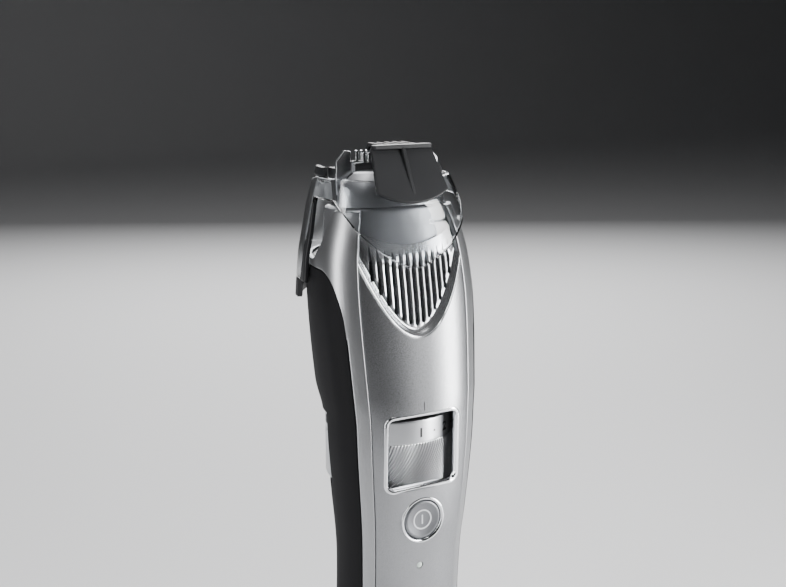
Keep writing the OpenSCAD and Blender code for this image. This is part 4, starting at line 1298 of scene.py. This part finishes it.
@dataclass
class Comb:
    """The comb: clear frame, dark arms, charcoal guard with its fin and bars, and the cradle it stands on."""

    plan: Plan
    wall: float = 1.3
    crease: float = 0.35
    lean: float = 0.6

    def frame(self) -> None:
        """The clear frame: a ring along the comb's section, beaded at its edge and creased in front."""
        plan = self.plan
        angle = np.linspace(0, 360, 420, endpoint=False)[:, None]
        low, high = plan.comb_low(angle), plan.comb_high(angle)
        v = crowded(70, 0.5)[None, :]
        z = low + (high - low) * v
        margin = np.minimum(z - low, high - z)
        in_front = smooth(-np.sin(np.radians(angle)) / 0.5)
        crease_z = plan.z_collar + 10.5 + 3.0 * (1 - in_front)
        step = self.crease * smooth((z - crease_z) / 0.8) * in_front
        outer = plan.comb.point(angle, z, round_edge(margin, 0.4) + step)
        inner = plan.comb.point(angle, z, self.wall - round_edge(margin, 0.3))
        settle(
            Mesher.shell("comb_collar", outer, inner, closed=True, angle=60), "comb", Finishes.CLEAR,
            "clear", "comb_frame"
        )

    def strip(
        self, name: str, first: float, last: float, low: Callable, high: Callable, wall: float, rows: int
    ) -> bpy.types.Object:
        """A rounded strip of the comb's section between two angles."""
        angle = (first + (last - first) * crowded(24, 0.6))[:, None]
        z = low(angle) + (high(angle) - low(angle)) * crowded(rows, 0.6)[None, :]
        side = np.minimum(angle - first, last - angle) / 3
        margin = np.minimum(np.minimum(z - low(angle), high(angle) - z), side)
        outer = self.plan.comb.point(angle, z, round_edge(margin, 0.4))
        inner = self.plan.comb.point(angle, z, wall - round_edge(margin, 0.3))
        return Mesher.shell(name, outer, inner)

    def arms(self) -> None:
        """A dark shoulder on the frame's top at each side, and a strut down to the cradle."""
        plan = self.plan
        base = plan.z_collar + 22.25
        foot = plan.z_cradle + 5.6
        edge = 90 + plan.tongue_half + 1
        for side, mirror in (("left", False), ("right", True)):
            spans = {"shoulder": (158, 181), "strut": (edge, edge + 6)}
            for kind, (first, last) in spans.items():
                if mirror:
                    first, last = 180 - last, 180 - first
                if kind == "shoulder":
                    piece = self.strip(f"comb_{kind}_{side}", first, last,
                                       lambda a: np.full(np.shape(a), base),
                                       lambda a: np.full(np.shape(a), base + 2.4), self.wall + 0.1, 14)
                else:
                    piece = self.strip(f"comb_{kind}_{side}", first, last,
                                       lambda a: np.full(np.shape(a), foot),
                                       lambda a: plan.comb_low(a) - 0.1, self.wall, 40)
                settle(piece, "comb", Finishes.CHARCOAL, "charcoal_plastic", "comb_arms")

    def cradle(self) -> None:
        """The dark cradle that carries the comb, round the rear of the shoulder."""
        plan = self.plan
        low, high = plan.z_cradle, plan.z_cradle + 5.2
        piece = self.strip("cradle", 90 - plan.cradle_half, 90 + plan.cradle_half,
                           lambda a: np.full(np.shape(a), low), lambda a: np.full(np.shape(a), high), 1.9, 16)
        settle(piece, "lifter", Finishes.BLACK, "black_plastic", "comb_cradle")

    def guard(self) -> None:
        """The guard: a leaning plate with a rounded lower edge, a ledge on top, a fin and the bars behind."""
        low, high = (np.array(v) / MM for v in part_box("comb_guard"))
        top = high[2]
        z0, y0 = top - 1.0, 13.1 - self.plan.dial_front
        half_top, half_low, drop, sag = 8.8, 10.6, 13.0, 3.3
        arc_r = (half_low**2 + sag**2) / (2 * sag)
        t = np.linspace(-1, 1, 33) * math.asin(half_low / arc_r)
        arc = np.column_stack([arc_r * np.sin(t), -drop - sag + arc_r * (1 - np.cos(t))])
        outline = np.concatenate([[[-half_top, 0]], arc, [[half_top, 0]]])
        lean = math.atan(self.lean)

        def leaning(p: Array) -> Array:
            """Local x stays, local height runs down the plate, local thickness goes forwards."""
            return np.column_stack([
                p[:, 0],
                y0 + 1.0 + p[:, 1] * math.sin(lean) - p[:, 2] * math.cos(lean),
                z0 + p[:, 1] * math.cos(lean) + p[:, 2] * math.sin(lean)])

        plate = Mesher.prism("guard_plate", outline, leaning, 1.2, 0.28)
        settle(plate, "comb", Finishes.CHARCOAL, "charcoal_plastic", "comb_guard")
        ledge_outline = np.array([
            [-half_top + 0.9, y0 + 1.3], [-half_top, y0 + 0.4], [-half_top + 0.3, y0 - 1.3],
            [half_top - 0.3, y0 - 1.3], [half_top, y0 + 0.4], [half_top - 0.9, y0 + 1.3]])
        ledge = Mesher.prism(
            "guard_ledge", ledge_outline, lambda p: np.column_stack([p[:, 0], p[:, 1], z0 - 0.1 + p[:, 2]]),
            top - z0 + 0.1, 0.25
        )
        settle(ledge, "comb", Finishes.CHARCOAL, "charcoal_plastic", "comb_guard")
        fin_outline = np.array(
            [[y0 - 1.2, z0 + 0.5], [y0 - 7.9, z0 - 12.7], [y0 - 7, z0 - 12.7], [y0 - 0.2, z0 + 0.2]]
        )
        fin = Mesher.prism(
            "guard_fin", fin_outline, lambda p: np.column_stack([p[:, 2] - 0.48, p[:, 0], p[:, 1]]), 0.96,
            0.2
        )
        settle(fin, "comb", Finishes.CHARCOAL, "charcoal_plastic", "comb_guard")
        self.bars(top, y0)

    def bars(self, top: float, y0: float) -> None:
        """Five bars: over the blade tips, down behind them, then a quarter ellipse to the rear wall."""
        plan = self.plan
        tips = float(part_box("stationary_blade")[1][1]) / MM
        rear_z, inside = plan.z_collar + 14, self.wall + 0.45
        half, front, rear = (float(plan.comb.at(np.array(rear_z), k)) for k in (1, 2, 3))
        middle = plan.comb.widest - front
        q = np.radians(np.linspace(0, 90, 16))
        for k in range(-2, 3):
            x = 2.4 * k
            share = (1 - ((abs(x) + 0.5) / (half - inside)) ** 2.5) ** 0.4
            rear_y = middle + (rear - inside - middle) * share
            crest, under = (
                np.column_stack([
                    rear_y - (rear_y - tips - 5.6 + t) * np.cos(q),
                    top - 5.4 - t * 0.3 - (top - 5.4 - rear_z - 1.2 + t * 0.9) * np.sin(q),
                ])
                for t in (0, 1)
            )
            head = [[y0 + 1.2, top - 1], [y0 + 1.2, top], [tips + 0.7, top]]
            outline = np.concatenate([head, crest, under[::-1], [[tips + 0.3, top - 1]]])[::-1]
            bar = Mesher.prism(
                f"comb_bar_{k + 3}", outline, lambda p,
                x=x: np.column_stack([p[:, 2] + x - 0.5, p[:, 0], p[:, 1]]), 1.0, 0.2
            )
            settle(bar, "comb", Finishes.CHARCOAL, "charcoal_plastic", "comb_guard")

    def build(self) -> None:
        """Builds the comb and its cradle."""
        self.frame()
        self.arms()
        self.cradle()
        self.guard()


@dataclass
class Blades:
    """The two ground blades."""

    pitch: float = 1.55
    tooth: float = 2.8

    def tooth_row(self, count: int, width: float, low: float, high: float) -> Array:
        """Outline of a row of round-ended teeth, from right to left, as (x, z)."""
        r = width / 2
        turn = np.linspace(0, np.pi, 7)
        k = np.arange(count)[::-1, None] - (count - 1) / 2
        x = k * self.pitch + np.concatenate([[r], r * np.cos(turn), [-r]])[None, :]
        z = np.concatenate([[low], high - r + r * np.sin(turn), [low]])[None, :]
        return np.stack([x, np.broadcast_to(z, x.shape)], -1).reshape(-1, 2)

    def build(self) -> None:
        """Builds the fixed blade with its slanted end teeth, and the narrower moving blade."""
        low, high = (np.array(v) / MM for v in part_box("stationary_blade"))
        half, tip, edge = high[0], high[2], high[2] - self.tooth
        inner = half - 4.2
        count = 2 * math.floor((inner - 0.5) / self.pitch) + 1
        row = self.tooth_row(count, self.pitch * 0.55, edge, tip)
        right = np.array(
            [
                [-half, low[2]], [half, low[2]], [half, edge - 0.1], [half - 2.7, tip], [inner, tip - 0.1],
                [inner, edge]
            ]
        )
        left = np.array([[-inner, edge], [-inner, tip - 0.1], [-half + 2.7, tip], [-half, edge - 0.1]])
        fixed = Mesher.prism(
            "fixed_blade", np.concatenate([right, row, left]), facing_front(high[1]), high[1] - low[1], 0.08
        )
        settle(fixed, "housing", Finishes.STEEL, "blade_steel", "stationary_blade")
        low, high = (np.array(v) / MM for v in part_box("moving_blade"))
        half = high[0]
        count = 2 * math.floor(half / self.pitch) - 1
        row = self.tooth_row(count, self.pitch * 0.5, edge - 0.4, high[2])
        corners = np.array([[-half, low[2]], [half, low[2]], [half, edge - 0.4]])
        outline = np.concatenate([corners, row, [[-half, edge - 0.4]]])
        moving = Mesher.prism("cutter_blade", outline, facing_front(high[1]), high[1] - low[1], 0.06)
        settle(moving, "blade", Finishes.STEEL, "blade_steel", "moving_blade")


class Interior:
    """Finishes for the CAD nodes whose shape is already right."""

    FINISH = {
        "base_cap": Finishes.BLACK, "base_screws": Finishes.BOLT, "inlet_pins": Finishes.BRASS,
        "lower_housing": Finishes.BLACK, "upper_housing": Finishes.BLACK, "shoulder_cover": Finishes.BLACK,
        "chassis_tube": Finishes.BLACK, "button_seal": Finishes.RUBBER, "circuit_board": Finishes.BOARD,
        "tact_switch": Finishes.BLACK, "lamp_led": Finishes.LAMP, "battery_cell": Finishes.WRAP,
        "battery_tabs": Finishes.BOLT, "motor_can": Finishes.BOLT, "motor_end_cap": Finishes.NYLON,
        "motor_terminals": Finishes.BRASS, "motor_magnets": Finishes.BOLT, "motor_armature": Finishes.COPPER,
        "motor_shaft": Finishes.STEEL, "eccentric_cam": Finishes.NYLON, "drive_yoke": Finishes.NYLON,
        "blade_base": Finishes.BLACK, "blade_springs": Finishes.BOLT, "blade_screws": Finishes.BOLT,
        "detent_spring": Finishes.BOLT, "lifter_carriage": Finishes.NYLON,
    }

    @classmethod
    def dress(cls, nodes: dict[str, bpy.types.Object]) -> None:
        """Gives each kept node its finish."""
        for name, finish in cls.FINISH.items():
            slots = nodes[name].material_slots
            for entry in slots:
                entry.material = Finishes.get(finish)
            LOG.info("%s: %s", name, finish.name)


@dataclass
class Studio:
    """Floor, backdrop, lights and camera."""

    turn: float = 28.5
    away: float = 300.0
    height: float = 206.0
    dip: float = 12.5
    focal_px: float = 1120.0
    width_px: float = 786.0

    def camera(self) -> None:
        """Stands the camera to the left of the front, looking down a little."""
        data = bpy.data.cameras.new("camera")
        data.sensor_width = 36.0
        data.lens = 36.0 * self.focal_px / self.width_px
        data.clip_start = 0.01
        made = bpy.data.objects.new("camera", data)
        bpy.context.scene.collection.objects.link(made)
        a, p = math.radians(self.turn), math.radians(self.dip)
        forward = Vector((math.sin(a) * math.cos(p), math.cos(a) * math.cos(p), -math.sin(p)))
        made.location = Vector((-math.sin(a) * self.away, -math.cos(a) * self.away, self.height)) * MM
        made.rotation_euler = forward.to_track_quat("-Z", "Y").to_euler()
        bpy.context.scene.camera = made

    def lamp(
        self, name: str, place: Sequence[float], target: Sequence[float], size: Sequence[float],
        watts: float
    ) -> None:
        """An area light at a place in metres, aimed at a target."""
        data = bpy.data.lights.new(name, "AREA")
        data.shape = "RECTANGLE"
        data.size, data.size_y = size
        data.energy = watts
        made = bpy.data.objects.new(name, data)
        bpy.context.scene.collection.objects.link(made)
        made.location = place
        made.rotation_euler = (Vector(target) - Vector(place)).to_track_quat("-Z", "Y").to_euler()

    def floor(self) -> None:
        """A pale floor that curves up into a backdrop: flat, a quarter circle, then upright."""
        s = np.linspace(0, 1, 60)[None, :]
        x = np.linspace(-3, 3, 2)[:, None]
        bend = np.clip((s - 0.5) / 0.25, 0, 1) * np.pi / 2
        y = -1.5 + 3.2 * np.minimum(s, 0.5) / 0.5 + 0.8 * np.sin(bend)
        z = 0.8 * (1 - np.cos(bend)) + 3.0 * np.clip((s - 0.75) / 0.25, 0, 1)
        grid = np.stack(np.broadcast_arrays(x, y, z), -1)
        made = Mesher.build("floor", grid.reshape(-1, 3) / MM, Mesher.quads(2, 60))
        finish = Finish(
            "floor_card", (0.72, 0.72, 0.73), 0.0, 0.7, 0.01, 0.02, patch=400, grain=3.0, grain_depth=0.01
        )
        made.data.materials.append(Finishes.get(finish))

    def build(self) -> None:
        """Builds the studio."""
        self.camera()
        self.floor()
        world = bpy.data.worlds.new("studio")
        world.use_nodes = True
        world.node_tree.nodes["Background"].inputs[0].default_value = (0.75, 0.77, 0.8, 1.0)
        world.node_tree.nodes["Background"].inputs[1].default_value = 0.03
        bpy.context.scene.world = world
        aim = (0, 0, 0.11)
        self.lamp("key", (0.26, -0.24, 0.15), aim, (0.09, 0.4), 3.0)
        self.lamp("side", (-0.32, -0.06, 0.2), aim, (0.1, 0.4), 1.1)
        self.lamp("top", (0.1, 0.05, 0.9), aim, (0.5, 0.4), 5)
        self.lamp("back", (0.35, 0.7, 0.5), aim, (0.7, 0.3), 8)
        self.card((0.07, -0.3), 0.0, 0.2, 0.4)
        self.card((-0.34, -0.2), 1.2, 0.2, 0.4)

    def card(self, place: tuple[float, float], turn: float, width: float, height: float) -> None:
        """A black card that stands on the floor outside the view and darkens the panel's reflections."""
        dx, dy = math.cos(turn) * width / 2, math.sin(turn) * width / 2
        corners = np.array([
            [place[0] - dx, place[1] - dy, 0.001], [place[0] + dx, place[1] + dy, 0.001],
            [place[0] + dx, place[1] + dy, height], [place[0] - dx, place[1] - dy, height]])
        made = Mesher.build("flag", corners / MM, np.array([[0, 1, 2, 3]]))
        finish = Finish("flag_cloth", (0.01, 0.01, 0.011), 0.0, 0.9, 0.05, 0.02, patch=60, grain=2.0)
        made.data.materials.append(Finishes.get(finish))


def main() -> None:
    """Loads the frame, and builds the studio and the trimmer."""
    logging.basicConfig(level=logging.INFO, format="%(name)s %(message)s")
    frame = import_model()
    Studio().build()
    plan = Plan()
    for part in (
        Handle(plan), Vent(plan), Neck(plan), Window(plan), Dial(plan), Button(plan), Comb(plan), Blades()
    ):
        LOG.info("building %s", type(part).__name__)
        part.build()
    Interior.dress(frame["nodes"])


if __name__ == "__main__":
    main()
